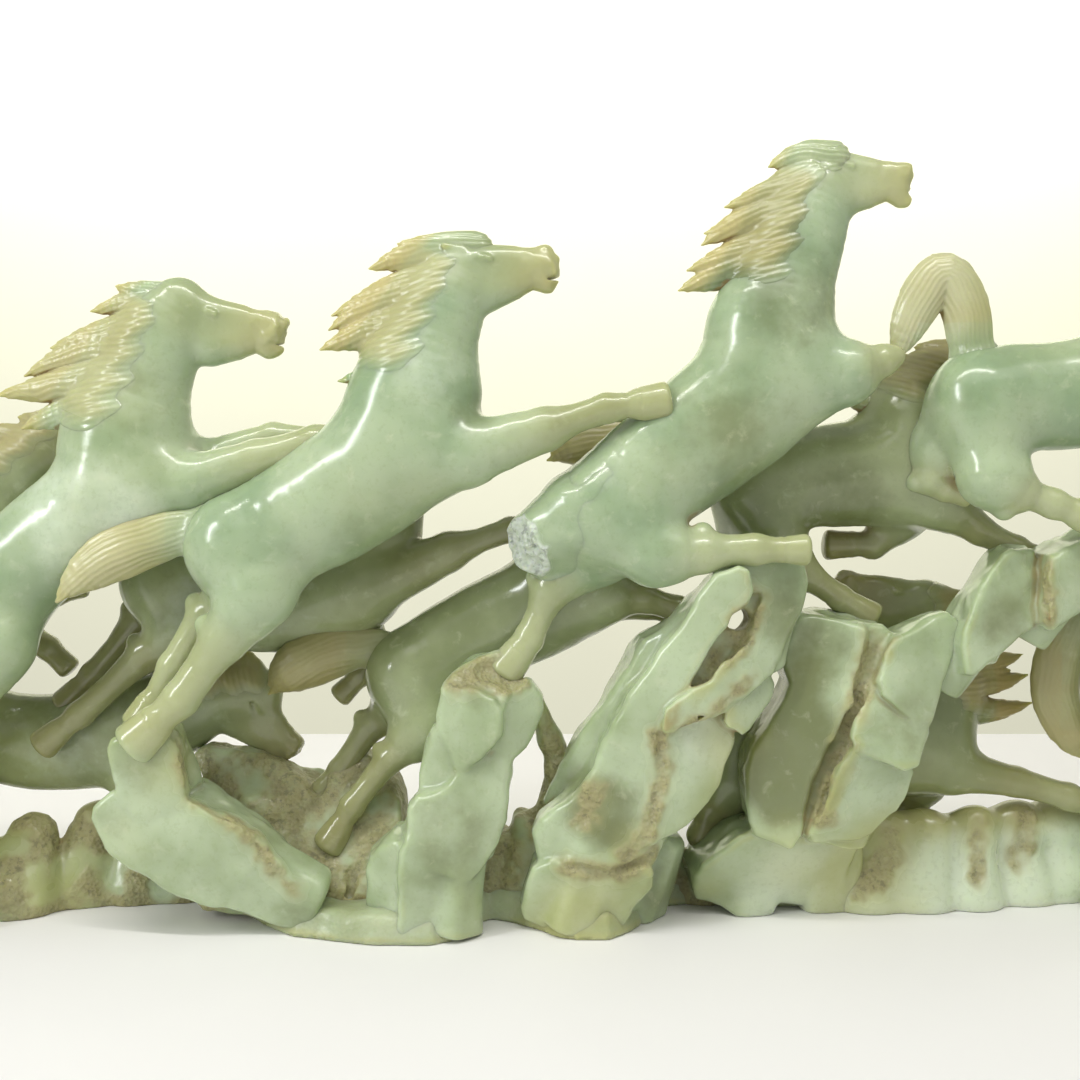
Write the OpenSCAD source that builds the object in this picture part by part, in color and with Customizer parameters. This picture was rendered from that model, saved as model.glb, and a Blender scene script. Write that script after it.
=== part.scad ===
// A long openwork jade carving: a herd of eleven horses galloping to +X over a
// line of rock crags. +X is the way the herd runs, -Y is the side it is looked
// at from, +Z is up. The origin is at the middle of the carving's footprint.

/* [Horses] */
// Thickness of a trunk across the carving, as a share of its depth
trunk_flat = 0.76; // [0.6:0.02:0.84]
// Thickness of a neck and head across the carving, as a share of their depth
neck_flat = 0.62; // [0.5:0.02:0.7]
// Distance from a horse's middle plane to its legs
leg_spread = 8; // [6:0.5:9]
// Thickness of every leg, against the natural one
leg_stout = 1; // [0.9:0.05:1.15]

/* [Hair] */
// Locks in a mane
mane_locks = 7; // [6:1:9]
// Half thickness of a mane at its root
mane_half = 4.5; // [3.5:0.5:5.5]
// Thickness of a tail across the carving, as a share of its depth
tail_flat = 0.8; // [0.6:0.05:0.9]

/* [Base] */
// Height of the sawn slab that every crag stands on
slab_h = 12; // [8:1:14]
// How far the slab's outline is pulled in or let out
slab_grow = 0; // [-2:0.5:2]

/* [Hidden] */
jade = [0.68, 0.77, 0.62];
jade_deep = [0.45, 0.53, 0.42];
hair_tan = [0.76, 0.74, 0.55];
rock_green = [0.63, 0.69, 0.53];
fracture_white = [0.8, 0.87, 0.82];

// Radius of a mane's lock at its root and at its tip
lock_r = 6;
lock_tip_r = 1.2;
// A depth past every horse
far_away = 1000;
// Fineness of the balls that are hulled into limbs, locks and rock
body_fn = 10;
leg_fn = 6;
lock_fn = 4;
rock_fn = 6;

// What each horse's list holds
PLANE = 0;
SPINE = 1;
LEGS = 2;
TAIL = 3;
MANE = 4;

// A spine is croup, loin, barrel, chest, neck base, neck middle, neck top,
// poll, cheek, nose and muzzle, each [x, z, half depth].
// Legs are near fore, far fore, near hind and far hind, each elbow or stifle,
// knee or hock, fetlock and hoof, as [x, z, radius].
// A tail is [x, z, half depth] from the dock to the tip.
// A mane is [length of the longest lock, its angle above level, where it starts on the
// neck, with 0 at the withers and 1 at the poll].

// Upper left end of the herd, in the back row
horse_1 = [16,
    [[-283, 115, 16], [-268, 119, 18], [-250, 125, 19], [-231, 134, 19],
     [-218, 148, 16], [-205, 161, 14], [-193, 172, 12], [-183, 180, 10],
     [-173, 176, 10], [-163, 172, 8], [-155, 169, 7]],
    [[[-224, 122, 10], [-200, 117, 6], [-184, 121, 5], [-176, 123, 5]],
     [[-228, 120, 9], [-206, 108, 6], [-193, 98, 5], [-187, 92, 5]],
     [[-284, 98, 11], [-296, 84, 6], [-290, 64, 5], [-284, 56, 6]],
     [[-278, 96, 10], [-284, 80, 6], [-272, 62, 5], [-266, 55, 6]]],
    [[-292, 124, 5], [-303, 131, 8], [-312, 122, 8], [-316, 107, 3]],
    [22, 160, 0.1]];

// Lower left, its head bowed behind the first crag
horse_2 = [24,
    [[-234, 66, 17], [-214, 63, 18], [-191, 61, 19], [-165, 64, 19],
     [-146, 72, 16], [-131, 77, 13], [-119, 79, 12], [-110, 80, 9],
     [-104, 72, 10], [-99, 60, 8], [-95, 49, 7]],
    [[[-158, 50, 9], [-135, 40, 6], [-117, 36, 5], [-108, 32, 6]],
     [[-160, 50, 9], [-146, 36, 6], [-150, 24, 5], [-146, 17, 5]],
     [[-238, 50, 11], [-254, 40, 6], [-262, 26, 5], [-258, 18, 6]],
     [[-230, 48, 10], [-240, 36, 6], [-236, 25, 5], [-229, 18, 6]]],
    [[-247, 76, 5], [-262, 82, 9], [-278, 76, 8], [-292, 62, 3]],
    [22, 110, 0.1]];

// Front row, left
horse_3 = [-14,
    [[-206, 118, 18], [-190, 131, 19], [-172, 145, 20], [-152, 160, 22],
     [-150, 178, 21], [-143, 197, 17], [-136, 215, 15], [-132, 229, 10],
     [-118, 215, 13], [-105, 217, 9], [-95, 216, 8]],
    [[[-124, 162, 10], [-101, 170, 7], [-80, 176, 6], [-63, 178, 6]],
     [[-126, 169, 8], [-98, 179, 5], [-78, 179, 4], [-61, 180, 5]],
     [[-194, 104, 13], [-205, 82, 7], [-217, 66, 5], [-225, 58, 6]],
     [[-206, 100, 12], [-221, 86, 6], [-232, 69, 5], [-238, 63, 6]]],
    [[-219, 116, 6], [-232, 118, 9], [-246, 108, 9], [-256, 94, 3]],
    [34, 196, 0]];

// Back row, behind the two front horses on the left
horse_4 = [12,
    [[-143, 125, 17], [-124, 119, 18], [-101, 117, 19], [-76, 123, 20],
     [-65, 140, 17], [-58, 155, 14], [-52, 167, 12], [-49, 174, 10],
     [-42, 171, 10], [-34, 168, 8], [-28, 166, 7]],
    [[[-69, 121, 11], [-34, 137, 8], [-11, 145, 5], [6, 148, 6]],
     [[-76, 112, 9], [-62, 98, 6], [-70, 88, 5], [-76, 82, 5]],
     [[-134, 107, 11], [-149, 98, 7], [-174, 75, 5], [-185, 66, 6]],
     [[-139, 116, 10], [-156, 109, 7], [-174, 88, 5], [-183, 79, 6]]],
    [[-157, 134, 5], [-168, 138, 8], [-180, 132, 8], [-190, 120, 3]],
    [22, 160, 0]];

// Front row, second from the left
horse_5 = [-26,
    [[-107, 140, 18], [-94, 145, 20], [-74, 156, 22], [-50, 174, 23],
     [-44, 192, 21], [-39, 209, 17], [-33, 224, 14], [-27, 236, 10],
     [-17, 231, 13], [-9, 236, 10], [1, 238, 8]],
    [[[-25, 172, 11], [2, 181, 7], [23, 188, 5], [39, 190, 6]],
     [[-26, 171, 9], [0, 180, 5], [20, 187, 4], [33, 188, 4]],
     [[-90, 122, 14], [-107, 109, 8], [-124, 86, 6], [-138, 75, 7]],
     [[-104, 124, 12], [-120, 115, 6], [-132, 96, 5], [-142, 79, 6]]],
    [[-118, 147, 6], [-134, 143, 8], [-150, 137, 9], [-163, 128, 6],
     [-171, 120, 2]],
    [34, 204, 0.1]];

// Middle of the herd, low, between the second and third crags
horse_6 = [4,
    [[-49, 91, 16], [-34, 99, 18], [-15, 109, 19], [8, 121, 19],
     [14, 137, 16], [20, 150, 14], [27, 161, 12], [31, 168, 9],
     [39, 165, 10], [47, 161, 8], [54, 158, 7]],
    [[[22, 121, 10], [38, 120, 6], [51, 116, 5], [60, 113, 5]],
     [[20, 118, 9], [40, 116, 6], [53, 111, 4], [62, 107, 5]],
     [[-43, 72, 11], [-56, 60, 6], [-70, 42, 5], [-77, 31, 6]],
     [[-52, 78, 10], [-65, 69, 6], [-77, 52, 5], [-83, 44, 6]]],
    [[-60, 102, 5], [-77, 99, 9], [-93, 92, 10], [-102, 83, 4]],
    [28, 215, 0]];

// Front row, the highest horse; its tail is broken off near the dock
horse_7 = [-24,
    [[21, 152, 18], [39, 165, 21], [61, 182, 23], [80, 199, 23],
     [81, 216, 20], [87, 233, 17], [93, 251, 15], [98, 265, 11],
     [109, 262, 13], [119, 264, 11], [128, 267, 9]],
    [[[106, 200, 10], [114, 203, 7], [121, 205, 6], [125, 206, 6]],
     [[104, 198, 9], [112, 201, 6], [118, 203, 5], [122, 205, 5]],
     [[40, 137, 11], [57, 138, 7], [75, 139, 5], [89, 139, 5]],
     [[21, 138, 12], [4, 124, 7], [-4, 106, 5], [-10, 98, 6]]],
    [[10, 150, 11], [3, 146, 10], [-3, 142, 10]],
    [30, 200, 0.3]];

// Back row, behind the highest horse
horse_8 = [9,
    [[81, 160, 16], [97, 164, 18], [116, 166, 20], [136, 169, 20],
     [139, 185, 16], [147, 196, 13], [156, 203, 11], [163, 207, 9],
     [171, 203, 10], [180, 198, 8], [187, 195, 7]],
    [[[149, 156, 10], [164, 145, 6], [178, 138, 5], [188, 134, 5]],
     [[140, 150, 8], [128, 139, 6], [120, 139, 5], [115, 139, 6]],
     [[87, 145, 10], [100, 128, 6], [113, 119, 5], [121, 114, 6]],
     [[79, 146, 9], [85, 130, 6], [92, 115, 5], [96, 108, 5]]],
    [[75, 167, 5], [54, 175, 8], [31, 179, 9], [14, 176, 8], [3, 171, 3]],
    [21, 160, 0.1]];

// Low on the right, turning its head back over the fourth crag
horse_9 = [24,
    [[76, 59, 16], [98, 58, 17], [121, 58, 18], [147, 60, 18],
     [155, 76, 15], [158, 92, 12], [155, 106, 10], [151, 116, 9],
     [141, 117, 10], [130, 121, 8], [120, 126, 7]],
    [[[160, 52, 9], [184, 47, 6], [205, 41, 5], [218, 36, 6]],
     [[154, 44, 8], [150, 36, 6], [143, 30, 5], [138, 26, 6]],
     [[74, 46, 11], [66, 36, 6], [62, 26, 5], [66, 19, 6]],
     [[82, 44, 10], [78, 34, 6], [82, 25, 5], [88, 19, 6]]],
    [[66, 66, 5], [52, 74, 8], [38, 72, 8], [28, 62, 3]],
    [28, 0, 0]];

// Front row, right, with its tail arched over the back
horse_10 = [-16,
    [[158, 192, 18], [177, 193, 19], [197, 195, 20], [217, 199, 22],
     [226, 215, 19], [234, 231, 16], [242, 246, 14], [248, 257, 10],
     [257, 252, 12], [267, 251, 10], [276, 250, 8]],
    [[[232, 186, 11], [256, 186, 6], [272, 176, 5], [281, 170, 6]],
     [[230, 182, 10], [250, 172, 6], [244, 158, 5], [238, 150, 6]],
     [[160, 165, 12], [168, 160, 8], [182, 155, 5], [195, 150, 6]],
     [[146, 176, 10], [144, 165, 7], [149, 161, 5], [153, 160, 5]]],
    [[155, 210, 7], [152, 226, 8], [145, 236, 8], [138, 230, 8],
     [132, 218, 7], [128, 207, 6]],
    [26, 190, 0.1]];

// Right end of the herd
horse_11 = [8,
    [[219, 113, 16], [236, 113, 18], [253, 115, 19], [270, 119, 19],
     [279, 134, 16], [285, 148, 13], [290, 159, 12], [293, 166, 9],
     [300, 163, 10], [307, 160, 8], [312, 158, 7]],
    [[[280, 106, 10], [296, 100, 6], [304, 88, 5], [309, 80, 6]],
     [[276, 104, 9], [282, 90, 6], [274, 78, 5], [268, 70, 6]],
     [[222, 95, 11], [216, 80, 6], [220, 60, 5], [226, 50, 6]],
     [[230, 94, 10], [236, 78, 6], [232, 60, 5], [238, 50, 6]]],
    [[208, 120, 6], [200, 104, 9], [196, 84, 9], [203, 66, 7], [214, 57, 3]],
    [24, 170, 0]];

HERD = [horse_1, horse_2, horse_3, horse_4, horse_5, horse_6, horse_7,
        horse_8, horse_9, horse_10, horse_11];

// How many points of the spine belong to the trunk and neck, with the rest the head
trunk_points = 4;
neck_points = 8;
// Sides of the middle plane that the four legs are on
leg_sides = [-1, 1, -1, 1];

// A crag is a list of lobes, each [[x, y, z, r] at its foot, the same at its top].
// Left end, under the hind feet of the first and third horses
crag_1 = [
    [[-262, 8, 12, 26], [-270, 12, 34, 15]], [[-290, 14, 12, 18], [-288, 18, 40, 10]],
    [[-270, 24, 20, 18], [-268, 24, 46, 9]], [[-240, -2, 12, 22], [-244, 0, 40, 12]],
    [[-236, -10, 20, 14], [-234, -12, 52, 8]], [[-222, -14, 16, 16], [-228, -18, 48, 8]],
    [[-252, 20, 14, 20], [-250, 22, 32, 10]], [[-296, 4, 8, 14], [-300, 6, 22, 8]]];
// Low ledge on the left
ledge_left = [
    [[-200, 12, 14, 20], [-196, 14, 28, 11]], [[-180, 27, 12, 17], [-176, 27, 30, 10]],
    [[-158, 32, 12, 14], [-160, 30, 26, 10]], [[-140, 30, 12, 14], [-142, 28, 26, 9]],
    [[-222, 6, 12, 18], [-220, 8, 26, 10]], [[-196, 28, 12, 18], [-190, 28, 26, 10]],
    [[-124, 30, 12, 14], [-122, 28, 26, 9]], [[-224, 28, 12, 18], [-222, 26, 24, 10]]];
// Under the hind hooves of the second front horse, and its leaning slab
crag_2 = [
    [[-142, -26, 44, 9], [-140, -24, 62, 10]], [[-136, -24, 46, 10], [-138, -22, 66, 9]],
    [[-148, -30, 40, 7], [-118, -30, 32, 12]], [[-140, -32, 34, 7], [-106, -32, 24, 13]],
    [[-118, -32, 28, 12], [-84, -32, 12, 11]], [[-104, -28, 32, 10], [-76, -26, 16, 10]],
    [[-124, -22, 40, 11], [-100, -20, 28, 12]], [[-92, -20, 22, 12], [-72, -18, 10, 11]],
    [[-138, -22, 36, 9], [-128, -20, 50, 9]]];
// The chiselled hollow between the second and third crags
hollow = [
    [[-110, 0, 14, 18], [-106, 2, 42, 12]], [[-90, -2, 14, 18], [-86, 2, 36, 12]],
    [[-72, 0, 14, 16], [-66, 2, 34, 10]], [[-100, 14, 14, 18], [-90, 14, 48, 10]],
    [[-120, 8, 14, 14], [-120, 8, 46, 9]], [[-64, -14, 12, 12], [-58, -12, 26, 8]],
    [[-84, -12, 12, 14], [-80, -8, 26, 10]], [[-76, 12, 16, 14], [-68, 12, 44, 8]]];
// Under the far hind hoof of the highest horse
crag_3 = [
    [[-48, -26, 10, 15], [-44, -28, 28, 12]], [[-36, -30, 10, 13], [-30, -28, 34, 12]],
    [[-54, -18, 12, 11], [-50, -18, 30, 9]], [[-28, -26, 36, 14], [-26, -26, 60, 12]],
    [[-36, -22, 44, 9], [-34, -22, 64, 9]], [[-18, -22, 46, 9], [-12, -20, 60, 8]],
    [[-26, -20, 66, 11], [-24, -20, 86, 9]], [[-14, -18, 68, 9], [-8, -18, 84, 7]],
    [[-20, -20, 60, 11], [-16, -18, 88, 8]]];
// Thin pillar and low saddle behind, between the third and fourth crags
pillar = [
    [[-22, 4, 12, 14], [-16, 6, 26, 10]], [[-4, 6, 12, 14], [-2, 6, 30, 10]],
    [[12, 4, 12, 12], [8, 6, 32, 8]], [[2, 8, 30, 8], [8, 6, 52, 5]],
    [[8, 6, 50, 6], [2, 4, 70, 4]], [[2, 4, 68, 4], [-2, 0, 84, 4]],
    [[-34, 10, 12, 12], [-30, 12, 24, 9]], [[-12, 18, 12, 14], [-8, 18, 26, 9]]];
// Big crag under the near hind hoof of the highest horse, pierced near its top
crag_4 = [
    [[12, -24, 12, 16], [20, -24, 34, 14]], [[28, -26, 12, 15], [34, -24, 26, 12]],
    [[6, -22, 26, 9], [22, -22, 52, 12]], [[30, -24, 34, 12], [40, -22, 60, 12]],
    [[44, -24, 42, 13], [56, -22, 66, 13]], [[34, -20, 60, 12], [46, -20, 84, 11]],
    [[60, -24, 62, 10], [64, -22, 84, 10]], [[70, -20, 74, 8], [80, -20, 90, 7]],
    [[48, -22, 84, 10], [60, -22, 118, 9]], [[60, -22, 124, 9], [84, -24, 124, 9]],
    [[84, -24, 124, 9], [78, -24, 100, 10]], [[66, -22, 92, 10], [56, -20, 90, 10]],
    [[26, -8, 40, 9], [34, -6, 74, 8]], [[48, -14, 12, 14], [52, -14, 26, 10]]];
// Centre of the hole through the fourth crag, and its radius
eye = [71, -22, 113];
eye_r = 5;
// Low saddle between the fourth and fifth crags
saddle = [
    [[64, 27, 10, 16], [70, 22, 24, 10]], [[84, 24, 10, 16], [90, 20, 26, 10]],
    [[46, 26, 12, 16], [44, 24, 30, 10]], [[26, 24, 12, 16], [24, 22, 28, 10]],
    [[104, 26, 12, 16], [100, 24, 28, 9]], [[8, 26, 12, 14], [6, 24, 24, 9]],
    [[122, 28, 10, 14], [118, 28, 24, 8]], [[36, 30, 12, 12], [34, 28, 28, 8]]];
// Fifth crag, with a chiselled channel between its two halves
crag_5 = [
    [[84, 2, 34, 10], [90, -6, 62, 14]], [[94, -6, 50, 14], [106, -6, 84, 14]],
    [[102, -8, 76, 14], [112, -8, 98, 13]], [[86, 2, 36, 10], [96, 2, 70, 11]],
    [[116, -10, 40, 12], [122, -10, 64, 15]], [[126, -8, 54, 14], [134, -8, 84, 14]],
    [[134, -6, 74, 13], [146, -6, 100, 11]], [[112, 14, 12, 14], [116, 4, 42, 12]],
    [[108, 2, 30, 12], [112, 2, 88, 10]], [[124, 2, 44, 12], [132, 0, 90, 10]]];
// Sixth crag, rising to the near hind hoof of the right front horse
crag_6 = [
    [[148, -4, 88, 12], [164, -6, 112, 12]], [[160, -6, 104, 12], [172, -8, 128, 12]],
    [[170, -8, 120, 11], [178, -10, 138, 9]], [[178, -10, 110, 11], [190, -10, 134, 12]],
    [[190, -12, 126, 10], [200, -14, 140, 8]], [[164, 4, 96, 11], [172, 4, 124, 10]],
    [[182, 2, 106, 10], [192, 0, 126, 10]], [[198, -8, 112, 9], [206, -8, 130, 9]]];
// Low ledge on the right
ledge_right = [
    [[130, 16, 12, 16], [134, 16, 26, 11]], [[148, 14, 12, 16], [150, 16, 30, 10]],
    [[168, 18, 12, 15], [166, 18, 30, 10]], [[186, 25, 12, 15], [184, 25, 28, 10]],
    [[204, 30, 12, 15], [202, 30, 28, 10]], [[140, 28, 12, 17], [144, 28, 24, 10]],
    [[164, 30, 12, 16], [164, 30, 26, 10]], [[218, 30, 12, 15], [218, 28, 28, 10]]];
// Right end, under the feet of the last horses
crag_7 = [
    [[228, 8, 12, 20], [228, 8, 36, 11]], [[246, 6, 12, 20], [244, 8, 38, 10]],
    [[266, 4, 12, 20], [268, 4, 48, 11]], [[284, 2, 10, 16], [290, 4, 44, 9]],
    [[276, 12, 20, 16], [270, 12, 60, 8]], [[294, 6, 24, 11], [306, 6, 66, 6]],
    [[250, -14, 12, 16], [246, -16, 60, 9]], [[246, -16, 56, 9], [240, -16, 100, 8]],
    [[240, -16, 96, 8], [238, -14, 140, 6]], [[272, -14, 14, 15], [278, -16, 70, 8]],
    [[278, -16, 66, 8], [286, -16, 120, 6]], [[286, -16, 116, 6], [284, -16, 158, 5]]];

CRAGS = [crag_1, ledge_left, crag_2, hollow, crag_3, pillar, crag_4, saddle,
         crag_5, crag_6, ledge_right, crag_7];
CRAG_NAMES = ["crag_1", "ledge_left", "crag_2", "hollow", "crag_3", "pillar",
              "crag_4", "saddle", "crag_5", "crag_6", "ledge_right", "crag_7"];

// Outline of the slab's sawn underside
slab_outline = [
    [-306, 20], [-290, -8], [-250, -16], [-200, -8], [-184, 14], [-160, 22], [-128, 20],
    [-92, -24], [-62, -36], [-34, -38], [-20, -6], [-8, -10], [10, -36], [28, -34],
    [46, 8], [62, 14], [112, 6], [146, 0], [182, 12], [212, 20], [236, -22], [290, -26],
    [306, 4], [294, 38], [220, 45], [120, 44], [30, 42], [-60, 42], [-150, 45],
    [-230, 45], [-290, 38]];

function mix(a, b, t) = a + (b - a) * t;
// Perpendicular to the step from a to b, turned to the left of it
function left_of(a, b) =
    let (d = b - a, n = norm(d)) [-d[1] / n, d[0] / n];

// A flattened ball at [x, z, r] in the plane at y
module bead(p, y, flat, fn) {
    translate([p[0], y, p[1]])
        scale([1, flat, 1])
            sphere(p[2], $fn = fn);
}

// A row of beads joined into one limb
module limb(points, y, flat, fn) {
    for (i = [0 : len(points) - 2])
        hull() {
            bead(points[i], y, flat, fn);
            bead(points[i + 1], y, flat, fn);
        }
}

// One leg, from the joint of the spine that it hangs from down to its hoof
module leg(horse, i) {
    root = horse[SPINE][i < 2 ? trunk_points - 1 : 0];
    points = [for (p = horse[LEGS][i]) [p[0], p[1], p[2] * leg_stout]];
    y = horse[PLANE] + leg_sides[i] * leg_spread;
    limb(concat([[root[0], root[1], root[2] * 0.6]], points), y, 0.9, leg_fn);
}

module body_solid(horse) {
    spine = horse[SPINE];
    y = horse[PLANE];
    for (i = [0 : len(spine) - 2])
        hull() {
            bead(spine[i], y, i < trunk_points ? trunk_flat : neck_flat, body_fn);
            bead(spine[i + 1], y, i + 1 < trunk_points ? trunk_flat : neck_flat, body_fn);
        }
    for (i = [0 : 3])
        leg(horse, i);
}

// A point of the neck's crest: t is 0 at its base and 1 at the poll
function crest(horse, t) =
    let (first = trunk_points,
         s = first + t * (neck_points - 1 - first),
         i = min(floor(s), neck_points - 2),
         a = horse[SPINE][i],
         b = horse[SPINE][i + 1],
         p = mix(a, b, s - i),
         out = horse[MANE][1] > 90 ? 1 : -1,
         n = left_of([a[0], a[1]], [b[0], b[1]]) * out)
    [p[0] + n[0] * p[2] * 0.6, p[1] + n[1] * p[2] * 0.6];

// Locks are longest low on the neck and shorten towards the poll
module mane_solid(horse) {
    reach = horse[MANE][0];
    for (i = [0 : mane_locks - 1]) {
        t = mix(horse[MANE][2], 1, i / (mane_locks - 1));
        root = crest(horse, t);
        wave = i % 2 == 0 ? 1 : 0.8;
        angle = horse[MANE][1] + 14 * (0.5 - t);
        tip = reach * wave * (1 - 0.25 * t);
        hull() {
            bead([root[0], root[1], lock_r], horse[PLANE], mane_half / lock_r, lock_fn);
            bead([root[0] + tip * cos(angle), root[1] + tip * sin(angle), lock_tip_r],
                 horse[PLANE], 1, lock_fn);
        }
    }
}

// Three locks side by side from the dock to the tip
module tail_solid(horse) {
    tail = horse[TAIL];
    for (side = [-1 : 1])
        limb([for (p = tail) [p[0], p[1], p[2] * (1 - 0.2 * abs(side))]],
             horse[PLANE] + side * 3, tail_flat * (1 - 0.3 * abs(side)), lock_fn);
}

// The break across the stump of the highest horse's tail
module stump_solid(horse) {
    tail = horse[TAIL];
    for (side = [-2 : 2])
        limb([for (p = tail) [p[0], p[1] + side, p[2] - abs(side)]],
             horse[PLANE], tail_flat, leg_fn);
}

module lobes(list) {
    for (lobe = list)
        hull()
            for (p = lobe)
                translate([p[0], p[1], p[2]])
                    scale([1, 0.8, 1])
                        sphere(p[3], $fn = rock_fn);
}

module slab_solid() {
    linear_extrude(slab_h)
        polygon([for (p = slab_outline) p + slab_grow * p / norm(p)]);
}

module base_slab() {
    color(rock_green)
        slab_solid();
}

// Everything below the slab's top
module slab_space() {
    translate([-400, -100, -50])
        cube([800, 200, 50 + slab_h]);
}

// Bodies of the horses whose middle plane is nearer the front than y
module bodies_in_front(y) {
    for (horse = HERD)
        if (horse[PLANE] < y)
            body_solid(horse);
}

// Rock stands on the slab, and gives way to the horses and to the crags before it
module crag(i) {
    color(rock_green)
        difference() {
            lobes(CRAGS[i]);
            slab_space();
            bodies_in_front(far_away);
            for (j = [0 : 1 : i - 1])
                lobes(CRAGS[j]);
            if (i == 6)
                translate(eye)
                    rotate([90, 0, 0])
                        cylinder(h = 60, r = eye_r, center = true, $fn = 16);
        }
}

module horse_body(i) {
    color(HERD[i][PLANE] > 0 ? jade_deep : jade)
        difference() {
            body_solid(HERD[i]);
            slab_space();
            bodies_in_front(HERD[i][PLANE]);
        }
}

module horse_mane(i) {
    color(hair_tan)
        difference() {
            mane_solid(HERD[i]);
            bodies_in_front(far_away);
        }
}

module horse_tail(i) {
    color(i == 6 ? fracture_white : hair_tan)
        difference() {
            if (i == 6)
                stump_solid(HERD[i]);
            else
                tail_solid(HERD[i]);
            bodies_in_front(far_away);
        }
}

base_slab();
for (i = [0 : len(CRAGS) - 1])
    crag(i);
for (i = [0 : len(HERD) - 1]) {
    horse_body(i);
    horse_mane(i);
    horse_tail(i);
}
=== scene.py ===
import math

import bpy
import numpy as np
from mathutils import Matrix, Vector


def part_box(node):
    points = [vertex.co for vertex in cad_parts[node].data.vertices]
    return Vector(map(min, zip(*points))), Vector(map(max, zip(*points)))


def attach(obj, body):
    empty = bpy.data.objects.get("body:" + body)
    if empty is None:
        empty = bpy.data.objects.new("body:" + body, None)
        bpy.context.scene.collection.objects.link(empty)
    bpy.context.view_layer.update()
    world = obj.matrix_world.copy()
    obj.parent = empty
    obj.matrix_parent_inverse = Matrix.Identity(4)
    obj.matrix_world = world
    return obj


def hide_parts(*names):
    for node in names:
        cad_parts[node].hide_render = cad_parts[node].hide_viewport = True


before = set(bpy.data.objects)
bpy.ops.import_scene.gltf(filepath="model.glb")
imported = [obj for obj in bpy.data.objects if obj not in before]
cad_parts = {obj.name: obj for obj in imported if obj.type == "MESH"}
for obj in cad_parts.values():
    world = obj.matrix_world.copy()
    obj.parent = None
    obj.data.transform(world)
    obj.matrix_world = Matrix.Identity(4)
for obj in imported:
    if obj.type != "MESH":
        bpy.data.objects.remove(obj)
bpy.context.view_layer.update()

import openvdb
from mathutils import Vector

# ---------------------------------------------------------------- the frame
# Lengths below are millimetres in the CAD's frame: +X is the way the herd
# runs, -Y faces the camera, +Z is up, and the slab's underside is at z = 0.
SLAB_LENGTH = 612.0
slab_low, slab_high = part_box("base_slab")
MM = (slab_high[0] - slab_low[0]) / SLAB_LENGTH
ORIGIN = np.array([(slab_low[0] + slab_high[0]) / 2, 0.0, slab_low[2]])
SLAB_TOP = (slab_high[2] - slab_low[2]) / MM

# Grid step of each kind of piece
BODY_STEP = 0.65
BACK_STEP = 0.9
HAIR_STEP = 0.45
BACK_HAIR_STEP = 0.65
ROCK_STEP = 0.7
SLAB_STEP = 1.2
COARSE = 1.0

# Distances are only kept this far from a surface
FAR = 14.0


# ------------------------------------------------- shaping with distances
def smooth_min(a, b, k):
    """The lesser of two distances, with the crease between them filled over k."""
    h = np.maximum(k - np.abs(a - b), 0) / k
    return np.minimum(a, b) - h * h * k * 0.25


def smooth_max(a, b, k):
    """The greater of two distances, with the edge between them rounded over k."""
    return -smooth_min(-a, -b, k)


def smoothstep(low, high, v):
    t = np.clip((v - low) / (high - low), 0, 1)
    return t * t * (3 - 2 * t)


def curve(points, steps):
    """A Catmull-Rom curve through rows of numbers, with that many steps between two rows."""
    p = np.asarray(points, float)
    p = np.vstack([2 * p[0] - p[1], p, 2 * p[-1] - p[-2]])
    t = (np.arange(steps) / steps)[:, None]
    rows = []
    for i in range(1, len(p) - 2):
        a, b, c, d = p[i - 1], p[i], p[i + 1], p[i + 2]
        rows.append(0.5 * (2 * b + (c - a) * t + (2 * a - 5 * b + 4 * c - d) * t**2
                           + (3 * b - a - 3 * c + d) * t**3))
    rows.append(p[-2:-1])
    return np.vstack(rows)


def waves(v, pitch):
    """Fine lines across v, from 0 in a line's groove to 1 on its ridge."""
    return 0.5 - 0.5 * np.cos(v * (2 * math.pi / pitch))


def room_for(rows, margin):
    """The low and high corners of a box around a row of cones."""
    reach = rows[:, 3:4] * np.maximum(rows[:, 4:5], 1) + margin
    return (rows[:, :3] - reach).min(0), (rows[:, :3] + reach).max(0)


def cone(x, y, z, a, b):
    """Distance to a flattened round cone between rows [x, y, z, radius, flatness],
    how far along it each point is, and how far above its line in the XZ plane."""
    ax, ay, az, ar, af = a
    d = b - a
    flat = 0.5 * (af + b[4])
    px, py, pz = x - ax, (y - ay) / flat, z - az
    dx, dy, dz = d[0], d[1] / flat, d[2]
    length2 = dx * dx + dy * dy + dz * dz + 1e-9
    t = np.clip((px * dx + py * dy + pz * dz) / length2, 0, 1)
    qx, qy, qz = px - t * dx, py - t * dy, pz - t * dz
    r = ar + t * d[3]
    dist = np.sqrt(qx * qx + qy * qy + qz * qz) - r
    across = (qz * dx - qx * dz) / math.sqrt(dx * dx + dz * dz + 1e-9)
    return dist, t, across


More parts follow.
